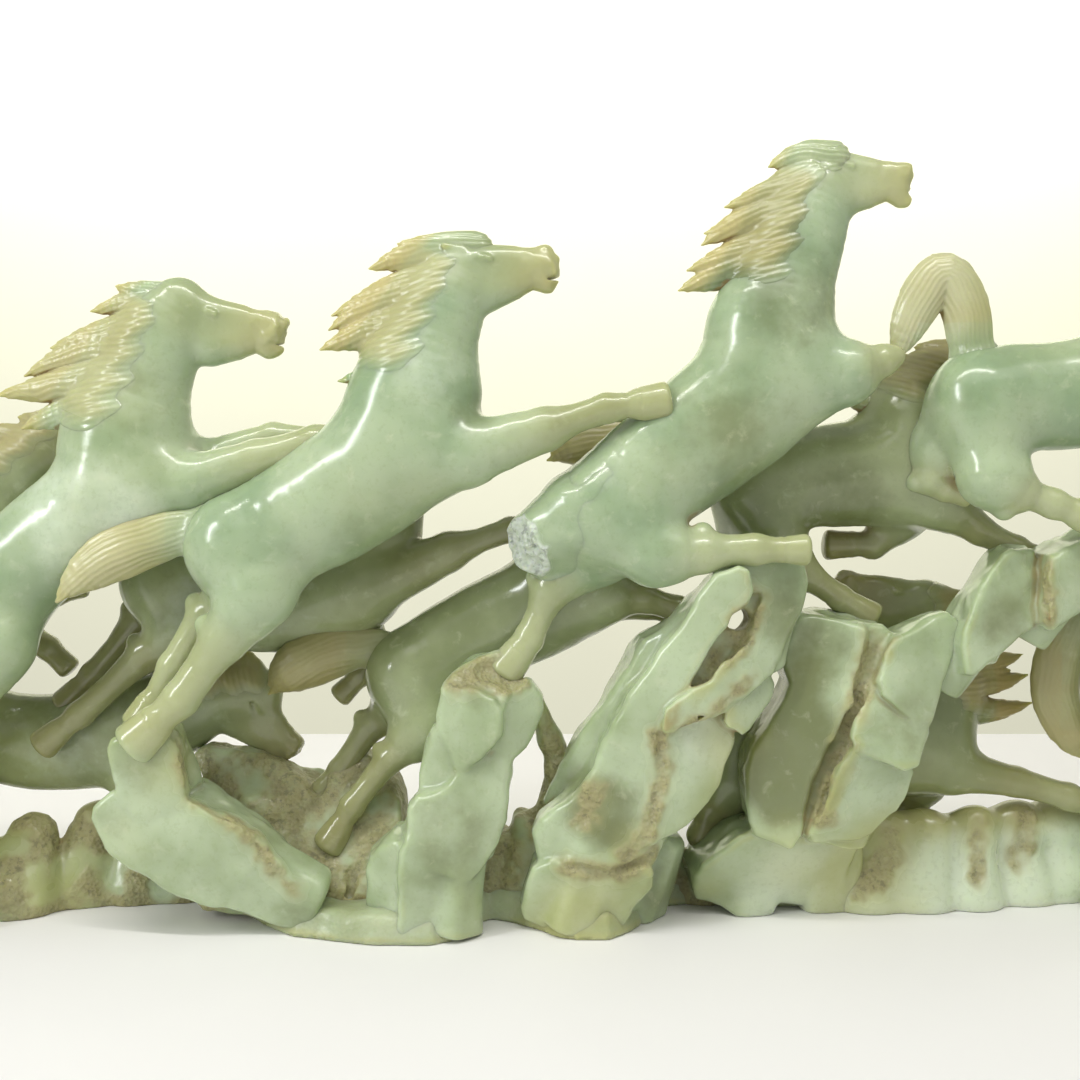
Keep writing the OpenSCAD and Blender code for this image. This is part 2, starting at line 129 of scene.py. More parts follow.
class Clay:
    """A block of distances on a grid, to which shapes are added and cut away."""

    def __init__(self, low, high, step):
        self.step = step * COARSE
        self.low = np.floor(np.asarray(low, float) / self.step) * self.step
        counts = np.ceil((np.asarray(high, float) - self.low) / self.step).astype(int) + 1
        self.axes = [(self.low[i] + self.step * np.arange(counts[i])).astype(np.float32)
                     for i in range(3)]
        self.d = np.full(counts, FAR, np.float32)
        # Noise that bends hair lines and edges, made when it is first needed
        self.wander = None

    def window(self, low, high):
        """The slices and open coordinate arrays of the part of the grid in a box."""
        cut = []
        for i in range(3):
            n = len(self.axes[i])
            a = int(np.clip(np.floor((low[i] - self.low[i]) / self.step), 0, n))
            b = int(np.clip(np.ceil((high[i] - self.low[i]) / self.step) + 1, 0, n))
            cut.append(slice(a, b))
        return tuple(cut), *self.places(cut)

    def places(self, cut):
        """The open coordinate arrays of those slices."""
        x, y, z = (axis[part] for axis, part in zip(self.axes, cut))
        return x[:, None, None], y[None, :, None], z[None, None, :]

    def everywhere(self):
        """The window that takes in the whole grid."""
        return self.window([-np.inf] * 3, [np.inf] * 3)

    def chain(self, rows, margin=FAR):
        """Distance to a row of joined cones, as (window, distances)."""
        rows = np.asarray(rows, float)
        cut = self.window(*room_for(rows, margin))[0]
        out = np.full(self.d[cut].shape, FAR, np.float32)
        if out.size == 0:
            return cut, out
        origin = [s.start for s in cut]
        for a, b in zip(rows[:-1], rows[1:]):
            part, px, py, pz = self.window(*room_for(np.stack([a, b]), margin))
            local = tuple(slice(s.start - o, s.stop - o) for s, o in zip(part, origin))
            if out[local].size:
                out[local] = np.minimum(out[local], cone(px, py, pz, a, b)[0])
        return cut, out

    def add(self, cut, dist, k):
        if dist.size:
            self.d[cut] = smooth_min(self.d[cut], np.minimum(dist, FAR), k)

    def carve(self, cut, dist, k):
        if dist.size:
            self.d[cut] = smooth_max(self.d[cut], -dist, k)

    def add_chain(self, rows, k):
        self.add(*self.chain(rows), k)

    def carve_chain(self, rows, k):
        self.carve(*self.chain(rows, 3.0), k)

    def sample(self, p, grid=None):
        """Distances at points, read between the grid's own."""
        g = self.d if grid is None else grid
        q = (p - self.low) / self.step
        q = np.clip(q, 0, np.array(g.shape) - 1.001)
        i = q.astype(np.int64)
        f = (q - i).astype(np.float32)
        flat = g.ravel()
        sy, sx = g.shape[2], g.shape[1] * g.shape[2]
        base = i[:, 0] * sx + i[:, 1] * sy + i[:, 2]
        out = 0
        for ox in (0, 1):
            wx = f[:, 0] if ox else 1 - f[:, 0]
            for oy in (0, 1):
                wy = f[:, 1] if oy else 1 - f[:, 1]
                for oz in (0, 1):
                    wz = f[:, 2] if oz else 1 - f[:, 2]
                    out = out + flat[base + ox * sx + oy * sy + oz] * wx * wy * wz
        return out

    def gradient(self, p):
        h = self.step * 0.75
        return np.stack([self.sample(p + axis * h) - self.sample(p - axis * h)
                         for axis in np.eye(3)], 1) / (2 * h)

    def skin(self):
        """The surface's points, quads, triangles and outward normals."""
        self.d = np.ascontiguousarray(self.d, np.float32)
        # The outermost layer is kept outside, so that the surface always closes
        for i in range(3):
            for end in (0, -1):
                face = [slice(None)] * 3
                face[i] = end
                self.d[tuple(face)] = np.maximum(self.d[tuple(face)], 0.5)
        grid = openvdb.FloatGrid(FAR)
        grid.copyFromArray(self.d)
        points, tris, quads = grid.convertToPolygons(isovalue=0.0, adaptivity=0.0)
        p = points.astype(float) * self.step + self.low
        for _ in range(2):
            g = self.gradient(p)
            n2 = (g * g).sum(1) + 1e-6
            move = (self.sample(p) / n2)[:, None] * g
            p = p - np.clip(move, -0.5 * self.step, 0.5 * self.step)
        g = self.gradient(p)
        n = g / (np.linalg.norm(g, axis=1, keepdims=True) + 1e-9)
        return p, quads, tris, n


def lattice(clay, size, seed):
    """Smooth noise from -1 to 1 over a clay's whole grid, with lumps of that size."""
    rng = np.random.default_rng(seed)
    counts = [int((a[-1] - a[0]) / size) + 4 for a in clay.axes]
    g = rng.uniform(-1, 1, counts).astype(np.float32)
    for i, axis in enumerate(clay.axes):
        q = (axis - axis[0]) / size + 1
        j = np.clip(q.astype(int), 1, counts[i] - 3)
        f = q - j
        w = np.zeros((len(axis), counts[i]), np.float32)
        row = np.arange(len(axis))
        w[row, j - 1] += -0.5 * f + f**2 - 0.5 * f**3
        w[row, j] += 1 - 2.5 * f**2 + 1.5 * f**3
        w[row, j + 1] += 0.5 * f + 2 * f**2 - 1.5 * f**3
        w[row, j + 2] += -0.5 * f**2 + 0.5 * f**3
        g = np.moveaxis(np.tensordot(w, g, axes=(1, i)), 0, i)
    return np.ascontiguousarray(g, np.float32)


# ------------------------------------------------------------------ pieces
# Where the colour differs: per piece, each [x, z, radius, amount], with more than nothing for darker
# olive and less than nothing for paler, whiter colour. Some are the stone's own colour, and some are
# painted shade and painted highlights that set how bright a place looks in light or in shadow.
STAINS_AND_PAINTED_LIGHT = {
    # horse_3's first place is a painted highlight, paler where the body catches a reflection.
    "horse_3_carved_body": [[-158, 150, 34, -0.65], [-143, 192, 20, 0.35]],
    "horse_5_carved_body": [[-36, 198, 18, -0.35], [-24, 188, 12, 0.5], [-75, 152, 24, 0.25],
                            [15, 186, 26, 0.3]],
    "horse_7_carved_body": [[62, 176, 36, 0.45], [88, 224, 26, 0.52], [30, 152, 20, -0.1]],
    "horse_10_carved_body": [[160, 190, 26, 0.15]],
    "horse_8_carved_body": [[112, 150, 26, 0.65]],
    "horse_4_carved_body": [[-120, 116, 30, -0.4]],
    "horse_2_carved_body": [[-180, 66, 34, -0.3]],
    "horse_7_carved_mane": [[70, 250, 34, 0.75]],
    "horse_5_carved_mane": [[-62, 226, 26, 0.35]],
    "horse_3_carved_mane": [[-165, 200, 40, 0.25]],
    "horse_10_carved_tail": [[132, 230, 30, -1.1]],
    "horse_5_carved_tail": [[-160, 128, 30, -1.0]],
    "crag_2_carved": [[-140, 62, 16, 0.3], [-112, 18, 22, -0.3], [-92, 8, 18, 0.35],
                      [-150, 46, 12, 0.3]],
    "crag_3_carved": [[-24, 60, 20, -0.2], [-20, 92, 14, 0.4], [-44, 10, 20, 0.3],
                      [-32, 40, 22, 0.5]],
    # crag_4's place at [60, 66] is painted light, paler on a facet that lies in shade.
    "crag_4_carved": [[22, 46, 20, 0.9], [14, 12, 26, -0.5], [60, 66, 18, -0.35],
                      [84, 116, 18, 0.5], [46, 14, 18, 0.5], [60, 72, 16, -0.5]],
    # crag_5's first place is painted shade, dark olive on its left slab, which lies in shadow.
    "crag_5_carved": [[84, 70, 34, 1.3], [92, 46, 18, 0.7], [100, 104, 18, 0.7],
                      [130, 76, 18, 0.35], [98, 12, 34, -0.7]],
    "crag_6_carved": [[166, 112, 16, 0.6], [170, 128, 14, 0.2]],
    "ledge_right_carved": [[128, 8, 20, -1], [152, 12, 24, -1.4], [176, 12, 24, -1.4],
                           [200, 14, 24, -1.2]],
}


def stain_and_painted_light(name, p):
    """The colour at points of a piece, from -1 for pale to 1 for olive: partly the stone's own
    stains, partly painted shade and painted highlights.
    """
    out = np.zeros(len(p))
    for x, z, radius, amount in STAINS_AND_PAINTED_LIGHT.get(name, []):
        out += amount * (1 - smoothstep(0.3, 1.1, np.hypot(p[:, 0] - x, p[:, 2] - z) / radius))
    return np.clip(out, -1, 1)


def build(name, clay, material, nodes, tan=None, rough=0.0, whole=None):
    """Makes the piece from its clay, with the values its material reads at each point.
    Where the piece is only a skin of hair, whole is the distances to all the stone there."""
    p, quads, tris, n = clay.skin()
    open_air = sum(np.clip(clay.sample(p + n * h, whole) / h, 0, 1) for h in (1.5, 3.0, 6.0)) / 3
    solid = sum(np.clip(-clay.sample(p - n * h, whole) / h, 0, 1) for h in (3.0, 7.0)) / 2
    values = {
        "recess": 1 - open_air,
        # How thin the stone is: the material paints a yellow glow of light shining through thin
        # places.
        "thin": 1 - solid,
        "tan": np.zeros(len(p)) if tan is None else tan(p, n),
        "rough": np.full(len(p), rough) if np.isscalar(rough) else rough(p, n),
        "stain_and_painted_light": stain_and_painted_light(name, p),
    }
    mesh = bpy.data.meshes.new(name)
    nv, nq, nt = len(p), len(quads), len(tris)
    mesh.vertices.add(nv)
    mesh.vertices.foreach_set("co", (p * MM + ORIGIN).astype(np.float32).ravel())
    corners = np.concatenate([quads.ravel(), tris.ravel()]).astype(np.int32)
    mesh.loops.add(len(corners))
    mesh.loops.foreach_set("vertex_index", corners)
    starts = np.concatenate([np.arange(nq) * 4, nq * 4 + np.arange(nt) * 3]).astype(np.int32)
    mesh.polygons.add(nq + nt)
    mesh.polygons.foreach_set("loop_start", starts)
    mesh.polygons.foreach_set("use_smooth", np.ones(nq + nt, bool))
    mesh.update(calc_edges=True)
    mesh.validate()
    for key, v in values.items():
        layer = mesh.attributes.new(key, "FLOAT", "POINT")
        layer.data.foreach_set("value", np.asarray(v, np.float32))
    mesh.normals_split_custom_set_from_vertices(n.astype(np.float32))
    piece = bpy.data.objects.new(name, mesh)
    bpy.context.scene.collection.objects.link(piece)
    mesh.materials.append(material)
    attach(piece, "root")
    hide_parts(*nodes)
    return piece


# ------------------------------------------------------------------ horses
# A horse's spine is croup, loin, barrel, chest, neck base, middle and top and poll,
# each [x, z, radius]. The head is the line along its top, from poll to nostrils. Its
# legs are near fore, far fore, near hind and far hind, each elbow or stifle, knee or
# hock, fetlock and hoof, and its tail runs from the dock to its tip. The mane is
# [locks + 2, reach, the angle that it lies at, where it begins on the neck].
# tips are the tips of its locks, crest is where the mane ends on the neck, lock is the
# least width of a lock, joined are legs without a hoof, and gape 0 closes the mouth.
TRUNK_FLAT, NECK_FLAT, HEAD_FLAT, LEG_FLAT = 0.76, 0.62, 0.66, 0.9
LEG_SPREAD = 8.0
LEG_SIDES = (-1, 1, -1, 1)
HIND_LEGS = (2, 3)

HORSES = {
    1: dict(
        spine=[[-283, 115, 16], [-268, 119, 18], [-250, 125, 19], [-231, 134, 19],
               [-218, 148, 16], [-205, 161, 14], [-193, 172, 12], [-183, 180, 10]],
        head=[-188, 187, -156, 177],
        legs=[[[-224, 122, 10], [-200, 117, 6], [-184, 121, 5], [-176, 123, 5]],
              [[-228, 120, 9], [-206, 108, 6], [-193, 98, 5], [-187, 92, 5]],
              [[-284, 98, 11], [-296, 84, 6], [-290, 64, 5], [-284, 56, 6]],
              [[-278, 96, 10], [-284, 80, 6], [-272, 62, 5], [-266, 55, 6]]],
        tail=[[-292, 124, 5], [-303, 131, 8], [-312, 122, 8], [-316, 107, 3]],
        mane=[9, 24, 160, 0.05]),
    2: dict(
        spine=[[-234, 66, 17], [-214, 63, 18], [-191, 61, 19], [-165, 64, 19],
               [-146, 72, 16], [-131, 77, 13], [-119, 79, 12], [-110, 80, 9]],
        head=[-112, 88, -92, 62],
        legs=[[[-158, 50, 9], [-135, 40, 6], [-117, 36, 5], [-108, 32, 6]],
              [[-160, 50, 9], [-146, 36, 6], [-150, 24, 5], [-146, 17, 5]],
              [[-238, 50, 11], [-254, 40, 6], [-262, 26, 5], [-258, 18, 6]],
              [[-230, 48, 10], [-240, 36, 6], [-236, 25, 5], [-229, 18, 6]]],
        tail=[[-247, 76, 5], [-262, 82, 9], [-278, 76, 8], [-292, 62, 3]],
        mane=[9, 22, 110, 0.05]),
    3: dict(
        spine=[[-206, 118, 18], [-190, 131, 19], [-172, 145, 20], [-152, 160, 22],
               [-150, 178, 21], [-143, 197, 17], [-136, 215, 15], [-130, 225, 11]],
        head=[-128, 231, -93, 225],
        legs=[[[-124, 162, 10], [-101, 170, 7], [-80, 176, 6], [-63, 178, 6]],
              [[-126, 169, 8], [-98, 179, 5], [-78, 179, 4], [-61, 180, 5]],
              [[-194, 104, 13], [-205, 82, 7], [-217, 66, 5], [-225, 58, 6]],
              [[-206, 100, 12], [-221, 86, 6], [-232, 69, 5], [-238, 63, 6]]],
        tail=[[-219, 116, 6], [-232, 118, 9], [-246, 108, 9], [-256, 94, 3]],
        mane=[6, 34, 190, 0],
        crest=1.08,
        tips=[[-187, 182], [-196, 194], [-186, 201], [-176, 211], [-162, 224], [-153, 233]]),
    4: dict(
        spine=[[-143, 125, 17], [-124, 119, 18], [-101, 117, 19], [-76, 123, 20],
               [-65, 140, 17], [-58, 155, 14], [-52, 167, 12], [-49, 174, 10]],
        head=[-50, 180, -26, 174],
        legs=[[[-69, 121, 11], [-34, 137, 8], [-11, 145, 5], [6, 148, 6]],
              [[-76, 112, 9], [-62, 98, 6], [-70, 88, 5], [-76, 82, 5]],
              [[-134, 107, 11], [-149, 98, 7], [-174, 75, 5], [-185, 66, 6]],
              [[-139, 116, 10], [-156, 109, 7], [-174, 88, 5], [-183, 79, 6]]],
        tail=[[-157, 134, 5], [-168, 138, 8], [-180, 132, 8], [-190, 120, 3]],
        mane=[8, 22, 160, 0]),
    5: dict(
        spine=[[-107, 140, 18], [-94, 145, 20], [-74, 156, 22], [-50, 174, 23],
               [-44, 192, 21], [-39, 209, 17], [-33, 224, 14], [-28, 234, 10]],
        head=[-30, 246, 4, 246],
        legs=[[[-25, 172, 11], [2, 181, 7], [23, 188, 5], [39, 190, 6]],
              [[-26, 171, 9], [0, 180, 5], [20, 187, 4], [33, 188, 4]],
              [[-98, 124, 13], [-110, 108, 8], [-125, 87, 6], [-138, 75, 7]],
              [[-104, 124, 12], [-120, 115, 6], [-132, 96, 5], [-142, 79, 6]]],
        tail=[[-118, 147, 6], [-134, 143, 8], [-150, 137, 9], [-163, 128, 6],
              [-171, 120, 2]],
        mane=[6, 34, 196, 0.1],
        tips=[[-71, 198], [-77, 209], [-74, 216], [-73, 221], [-60, 237], [-50, 246]]),
    6: dict(
        spine=[[-49, 91, 16], [-34, 99, 18], [-15, 109, 19], [8, 121, 19],
               [14, 137, 16], [20, 150, 14], [27, 161, 12], [31, 168, 9]],
        head=[28, 175, 52, 165],
        legs=[[[22, 121, 10], [38, 120, 6], [51, 116, 5], [60, 113, 5]],
              [[20, 118, 9], [40, 116, 6], [53, 111, 4], [62, 107, 5]],
              [[-43, 72, 11], [-56, 60, 6], [-70, 42, 5], [-77, 31, 6]],
              [[-52, 78, 10], [-65, 69, 6], [-77, 52, 5], [-83, 44, 6]]],
        tail=[[-60, 102, 5], [-77, 99, 9], [-93, 92, 10], [-102, 83, 4]],
        mane=[9, 28, 215, 0]),
    7: dict(
        spine=[[21, 152, 18], [39, 165, 21], [61, 182, 23], [80, 199, 23],
               [81, 216, 20], [87, 233, 17], [93, 251, 15], [98, 264, 12]],
        head=[98, 280, 130, 275],
        legs=[[[106, 200, 10], [114, 203, 6.4], [120, 205, 4.8], [126, 207, 3.6]],
              [[104, 198, 9], [112, 201, 6], [118, 203, 5], [122, 205, 5]],
              [[40, 137, 11], [57, 138, 7], [75, 139, 5], [89, 139, 5]],
              [[21, 138, 12], [4, 124, 7], [-4, 106, 5], [-10, 98, 6]]],
        tail=[[10, 150, 11], [3, 146, 10], [-3, 142, 10]],
        mane=[6, 31, 196, 0.25],
        joined=(0, 1), gape=0,
        tips=[[49, 230], [52, 237], [57, 246], [58, 250], [65, 259], [77, 264], [80, 273]]),
    8: dict(
        spine=[[81, 160, 16], [97, 164, 18], [116, 166, 20], [136, 169, 20],
               [139, 185, 16], [147, 196, 13], [156, 203, 11], [163, 207, 9]],
        head=[160, 213, 186, 202],
        legs=[[[149, 156, 10], [164, 145, 6], [178, 138, 5], [188, 134, 5]],
              [[140, 150, 8], [128, 139, 6], [120, 139, 5], [115, 139, 6]],
              [[87, 145, 10], [100, 128, 6], [113, 119, 5], [121, 114, 6]],
              [[79, 146, 9], [85, 130, 6], [92, 115, 5], [96, 108, 5]]],
        tail=[[75, 167, 5], [54, 175, 8], [31, 179, 9], [14, 176, 8], [3, 171, 3]],
        mane=[8, 21, 160, 0.1]),
    9: dict(
        spine=[[76, 59, 16], [98, 58, 17], [121, 58, 18], [147, 60, 18],
               [155, 76, 15], [158, 92, 12], [155, 106, 10], [151, 116, 9]],
        head=[151, 124, 119, 130],
        legs=[[[160, 52, 9], [184, 47, 6], [205, 41, 5], [218, 36, 6]],
              [[154, 44, 8], [150, 36, 6], [143, 30, 5], [138, 26, 6]],
              [[74, 46, 11], [66, 36, 6], [62, 26, 5], [66, 19, 6]],
              [[82, 44, 10], [78, 34, 6], [82, 25, 5], [88, 19, 6]]],
        tail=[[66, 66, 5], [52, 74, 8], [38, 72, 8], [28, 62, 3]],
        mane=[14, 28, 0, 0], lock=4.4),
    10: dict(
        spine=[[158, 192, 18], [177, 193, 19], [197, 195, 20], [217, 199, 22],
               [226, 215, 19], [234, 231, 16], [242, 246, 14], [248, 257, 10]],
        head=[246, 267, 278, 260],
        legs=[[[232, 186, 11], [256, 186, 6], [272, 176, 5], [281, 170, 6]],
              [[230, 182, 10], [250, 172, 6], [244, 158, 5], [238, 150, 6]],
              [[160, 165, 12], [168, 160, 8], [182, 155, 5], [195, 150, 6]],
              [[146, 176, 10], [144, 165, 7], [149, 161, 5], [153, 160, 5]]],
        tail=[[155, 210, 7], [152, 226, 8], [145, 236, 8], [138, 230, 8],
              [132, 218, 7], [128, 207, 6]],
        mane=[9, 28, 195, 0.1]),
    11: dict(
        spine=[[219, 113, 16], [236, 113, 18], [253, 115, 19], [270, 119, 19],
               [279, 134, 16], [285, 148, 13], [290, 159, 12], [293, 166, 9]],
        head=[290, 174, 314, 165],
        legs=[[[280, 106, 10], [296, 100, 6], [304, 88, 5], [309, 80, 6]],
              [[276, 104, 9], [282, 90, 6], [274, 78, 5], [268, 70, 6]],
              [[222, 95, 11], [216, 80, 6], [220, 60, 5], [226, 50, 6]],
              [[230, 94, 10], [236, 78, 6], [232, 60, 5], [238, 50, 6]]],
        tail=[[208, 120, 6], [200, 104, 9], [196, 84, 9], [203, 66, 7], [214, 57, 3]],
        mane=[8, 24, 170, 0]),
}
TRUNK_POINTS = 4
BACK_ROW = (1, 2, 4, 6, 8, 9, 11)
# The legs of the back row are slighter
for i in BACK_ROW:
    HORSES[i]["back"] = True


def plane_of(i):
    """The y of a horse's middle plane, from its CAD body's box."""
    low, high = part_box(f"horse_{i}_body")
    return (low[1] + high[1]) / 2 / MM


def unit(v):
    return np.asarray(v, float) / (np.linalg.norm(v) + 1e-9)


class Head:
    """A head's own axes: u along its top from poll to nostrils, v up out of its top,
    and w across it, all in head lengths."""

    def __init__(self, line, y):
        self.start = np.array([line[0], y, line[1]], float)
        along = np.array([line[2] - line[0], 0, line[3] - line[1]], float)
        self.length = np.linalg.norm(along)
        self.u = along / self.length
        # v is turned to the side of the top that faces up
        self.v = np.array([-self.u[2], 0, self.u[0]])
        if self.v[2] < 0:
            self.v = -self.v
        self.w = np.array([0, 1.0, 0])

    def at(self, u, v, w=0.0):
        return self.start + self.length * (u * self.u + v * self.v + w * self.w)

    def row(self, u, v, r, w=0.0, flat=HEAD_FLAT):
        return [*self.at(u, v, w), r * self.length, flat]

    def rows(self, *points, flat=HEAD_FLAT):
        return [self.row(*p, flat=flat) for p in points]


def add_head(clay, head, gape=1.0):
    # Skull and the straight bridge of the nose
    clay.add_chain(head.rows((0.0, -0.24, 0.21), (0.3, -0.2, 0.2), (0.6, -0.19, 0.165),
                             (0.84, -0.215, 0.145)), 4.0)
    # Deep round cheek, and the jaw that rises from it to the chin
    clay.add_chain(head.rows((0.08, -0.42, 0.23), (0.34, -0.47, 0.235), (0.58, -0.4, 0.195),
                             (0.8, -0.335, 0.14), (0.95, -0.39, 0.13)), 4.0)
    # Blunt muzzle, a little taller than the bridge behind it
    cut, dist = clay.chain(head.rows((0.84, -0.2, 0.14), (0.93, -0.2, 0.17), (0.97, -0.235, 0.18),
                                     flat=0.76))
    x, _, z = clay.places(cut)
    u = (x - head.start[0]) * head.u[0] + (z - head.start[2]) * head.u[2]
    v = (x - head.start[0]) * head.v[0] + (z - head.start[2]) * head.v[2]
    past = u - 1.14 * head.length - 0.3 * (v + 0.2 * head.length)
    clay.add(cut, smooth_max(dist, past, 8.0), 3.0)
    # The chisel left the nose and lips uneven, most of all at their front
    front = smoothstep(0.86, 1.06, u / head.length)
    chips = 0.45 * lattice(clay, 4, 9) + 0.2 * lattice(clay, 2, 10)
    clay.d[cut] += chips[cut] * (1 + 1.6 * front) * (1 - smoothstep(0.5, 6, dist))
    for side in (-1, 1):
        w = side * 0.13
        # Hollow under the brow, and the low lid of the eye
        clay.carve_chain([head.row(0.26, -0.2, 0.02, w * 1.4, 0.8),
                          head.row(0.44, -0.22, 0.015, w * 1.35, 0.8)], 2.2)
        clay.add_chain([head.row(0.3, -0.165, 0.028, w * 1.02, 0.8),
                        head.row(0.37, -0.175, 0.028, w * 1.02, 0.8)], 1.4)
        # Slight fold behind the muzzle, and the nostril
        clay.carve_chain([head.row(0.78, -0.12, 0.012, w * 1.3, 0.8),
                          head.row(0.82, -0.34, 0.012, w * 1.3, 0.8)], 3.6)
        clay.carve_chain([head.row(0.99, -0.13, 0.02, w * 1.25, 1),
                          head.row(1.05, -0.17, 0.02, w * 1.2, 1)], 1.0)
        # Ear, laid flat along the crest
        clay.add_chain([head.row(0.08, -0.08, 0.06, w * 0.6, 0.8),
                        head.row(-0.1, -0.04, 0.03, w * 0.8, 0.8)], 2.0)
    # Mouth: a ragged notch at the front
    if gape:
        clay.carve_chain([head.row(0.97, -0.37, 0.005, 0, 30), head.row(1.05, -0.365, 0.01, 0, 20),
                          head.row(1.2, -0.35, 0.035, 0, 8)], 1.0)


def leg_rows(spec, k, y):
    """The joints of leg k from the trunk down to its hoof, as [x, y, z, radius, flatness]."""
    trunk = spec["spine"]
    root = trunk[0] if k in HIND_LEGS else trunk[TRUNK_POINTS - 1]
    side = LEG_SIDES[k]
    stout = 1.0 if spec.get("back") else 1.12
    rows = [[root[0], y + side * LEG_SPREAD * 0.55, root[1], root[2] * 0.52, LEG_FLAT * 0.8]]
    for j, (x, z, r) in enumerate(spec["legs"][k]):
        rows.append([x, y + side * LEG_SPREAD, z, r * (stout if j else 1.0), LEG_FLAT])
    return np.array(rows, float)


def beyond(clay, cut, start, way):
    """How far past a point the places of a window lie, in the direction way."""
    x, y, z = clay.places(cut)
    return (x - start[0]) * way[0] + (y - start[1]) * way[1] + (z - start[2]) * way[2]


def add_leg(clay, spec, k, y):
    root, upper, knee, fetlock, hoof = leg_rows(spec, k, y)
    # Thigh or shoulder, and the muscle that tapers down to the knee or hock
    clay.add_chain([root, upper], 12.0)
    belly = 0.6 * upper + 0.4 * knee
    belly[3] = 0.55 * upper[3] + 0.5 * knee[3]
    clay.add_chain([upper * [1, 1, 1, 0.92, 1], belly, knee * [1, 1, 1, 0.95, 1]], 4.0)
    # Slim cannon between two knobs
    shin = 0.5 * (knee + fetlock)
    shin[3] = 0.97 * min(knee[3], fetlock[3])
    clay.add_chain([knee * [1, 1, 1, 0.95, 1], shin, fetlock * [1, 1, 1, 0.95, 1]], 2.0)
    if k in HIND_LEGS:
        # The hock's point stands out behind, away from the thigh's bend
        bend = unit(unit(upper[:3] - knee[:3]) + unit(fetlock[:3] - knee[:3]))
        point = knee.copy()
        point[:3] -= bend * knee[3] * 0.35
        point[3] *= 0.8
        tip = knee.copy()
        tip[:3] -= bend * knee[3] * 0.9
        tip[3] *= 0.45
        clay.add_chain([point, tip], 2.5)
    # Pastern, and a hoof that widens to a flat sole
    down = unit(hoof[:3] - fetlock[:3])
    pastern = 0.45 * fetlock + 0.55 * hoof
    pastern[3] = 0.82 * min(fetlock[3], hoof[3])
    clay.add_chain([fetlock * [1, 1, 1, 0.98, 1], pastern], 2.0)
    if k in spec.get("joined", ()):
        # The next horse's stone begins here, so this leg ends without a hoof
        return
    coronet, sole = hoof.copy(), hoof.copy()
    coronet[:3] -= down * hoof[3] * 0.5
    coronet[3] *= 0.9
    sole[:3] += down * hoof[3] * 0.7
    sole[3] *= 1.02
    cut, hoof_d = clay.chain([coronet, sole])
    end = sole[:3] + down * sole[3] * 0.25
    clay.add(cut, smooth_max(hoof_d, beyond(clay, cut, end, down), 3.0), 1.6)
    # The fine step where the hoof's horn begins
    start = coronet[:3] - down * coronet[3] * 0.2
    ring = np.abs(beyond(clay, cut, start, down)) - 0.2
    clay.carve(cut, smooth_max(ring, -(clay.d[cut] + 0.3), 0.3), 0.3)


def add_trunk(clay, spec, y):
    rows = [[x, y, z, r, TRUNK_FLAT] for x, z, r in spec["spine"][:TRUNK_POINTS + 1]]
    clay.add_chain(curve(rows, 4), 1.0)
    haunch, chest = spec["spine"][0], spec["spine"][TRUNK_POINTS - 1]
    for side in (-1, 1):
        # Low muscle over the hip and over the shoulder
        clay.add_chain([[haunch[0] + 2, y + side * 4, haunch[1] - 1, haunch[2] * 0.66, 0.8],
                        [haunch[0] + 12, y + side * 3, haunch[1] + 2, haunch[2] * 0.6, 0.8]], 12.0)
        clay.add_chain([[chest[0] - 4, y + side * 4, chest[1] + 2, chest[2] * 0.6, 0.8],
                        [chest[0] + 6, y + side * 4, chest[1] + 2, chest[2] * 0.55, 0.8]], 12.0)


def add_neck(clay, spec, y):
    """The neck, as thick as the trunk where it begins and thinner towards the poll."""
    flats = (TRUNK_FLAT, 0.74, 0.68, NECK_FLAT + 0.04)
    rows = [[x, y, z, r, flat] for (x, z, r), flat in zip(spec["spine"][TRUNK_POINTS:], flats)]
    clay.add_chain(curve(rows, 4), 10.0)


def body_box(spec, y):
    rows = [r for leg in spec["legs"] for r in leg] + spec["spine"]
    xs = [r[0] for r in rows] + [spec["head"][0], spec["head"][2]]
    zs = [r[1] for r in rows] + [spec["head"][1], spec["head"][3]]
    pad = 24
    return ([min(xs) - pad, y - pad, max(min(zs) - pad, -1)],
            [max(xs) + pad, y + pad, max(zs) + pad])


def far_along(p, a, b):
    """How far along the line from a to b points are, from 0 to 1, and their distance from it."""
    a, b = np.asarray(a, float), np.asarray(b, float)
    d = b - a
    t = np.clip(((p - a) @ d) / (d @ d), 0, 1)
    return t, np.linalg.norm(p - a - t[:, None] * d, axis=1)


def body_tan(spec, y, head):
    """Brown skin on the head and the lower legs."""
    def value(p, n):
        t, dist = far_along(p, head.at(0.05, -0.2), head.at(1.0, -0.2))
        out = (0.2 + 0.45 * smoothstep(0.1, 1.0, t)) * (1 - smoothstep(8, 18, dist))
        for k in range(4):
            _, upper, knee, _, hoof = leg_rows(spec, k, y)
            t, dist = far_along(p, upper[:3], knee[:3])
            out = np.maximum(out, 0.35 * t * (1 - smoothstep(7, 13, dist)))
            t, dist = far_along(p, knee[:3], hoof[:3])
            out = np.maximum(out, (0.35 + 0.15 * t) * (1 - smoothstep(7, 12, dist)))
        return out
    return value


def horse_body(i, material):
    spec, y = HORSES[i], plane_of(i)
    step = BACK_STEP if i in BACK_ROW else BODY_STEP
    clay = Clay(*body_box(spec, y), step)
    head = Head(spec["head"], y)
    add_trunk(clay, spec, y)
    add_neck(clay, spec, y)
    for k in range(4):
        add_leg(clay, spec, k, y)
    add_head(clay, head, spec.get("gape", 1.0))
    # The polisher's wheel left the surface very slightly uneven
    clay.d += 0.4 * lattice(clay, 17, 300 + i) + 0.12 * lattice(clay, 6, 320 + i)
    return build(f"horse_{i}_carved_body", clay, material, [f"horse_{i}_body"],
                 body_tan(spec, y, head))


def neck_of(spec):
    return np.array(spec["spine"][TRUNK_POINTS:], float)


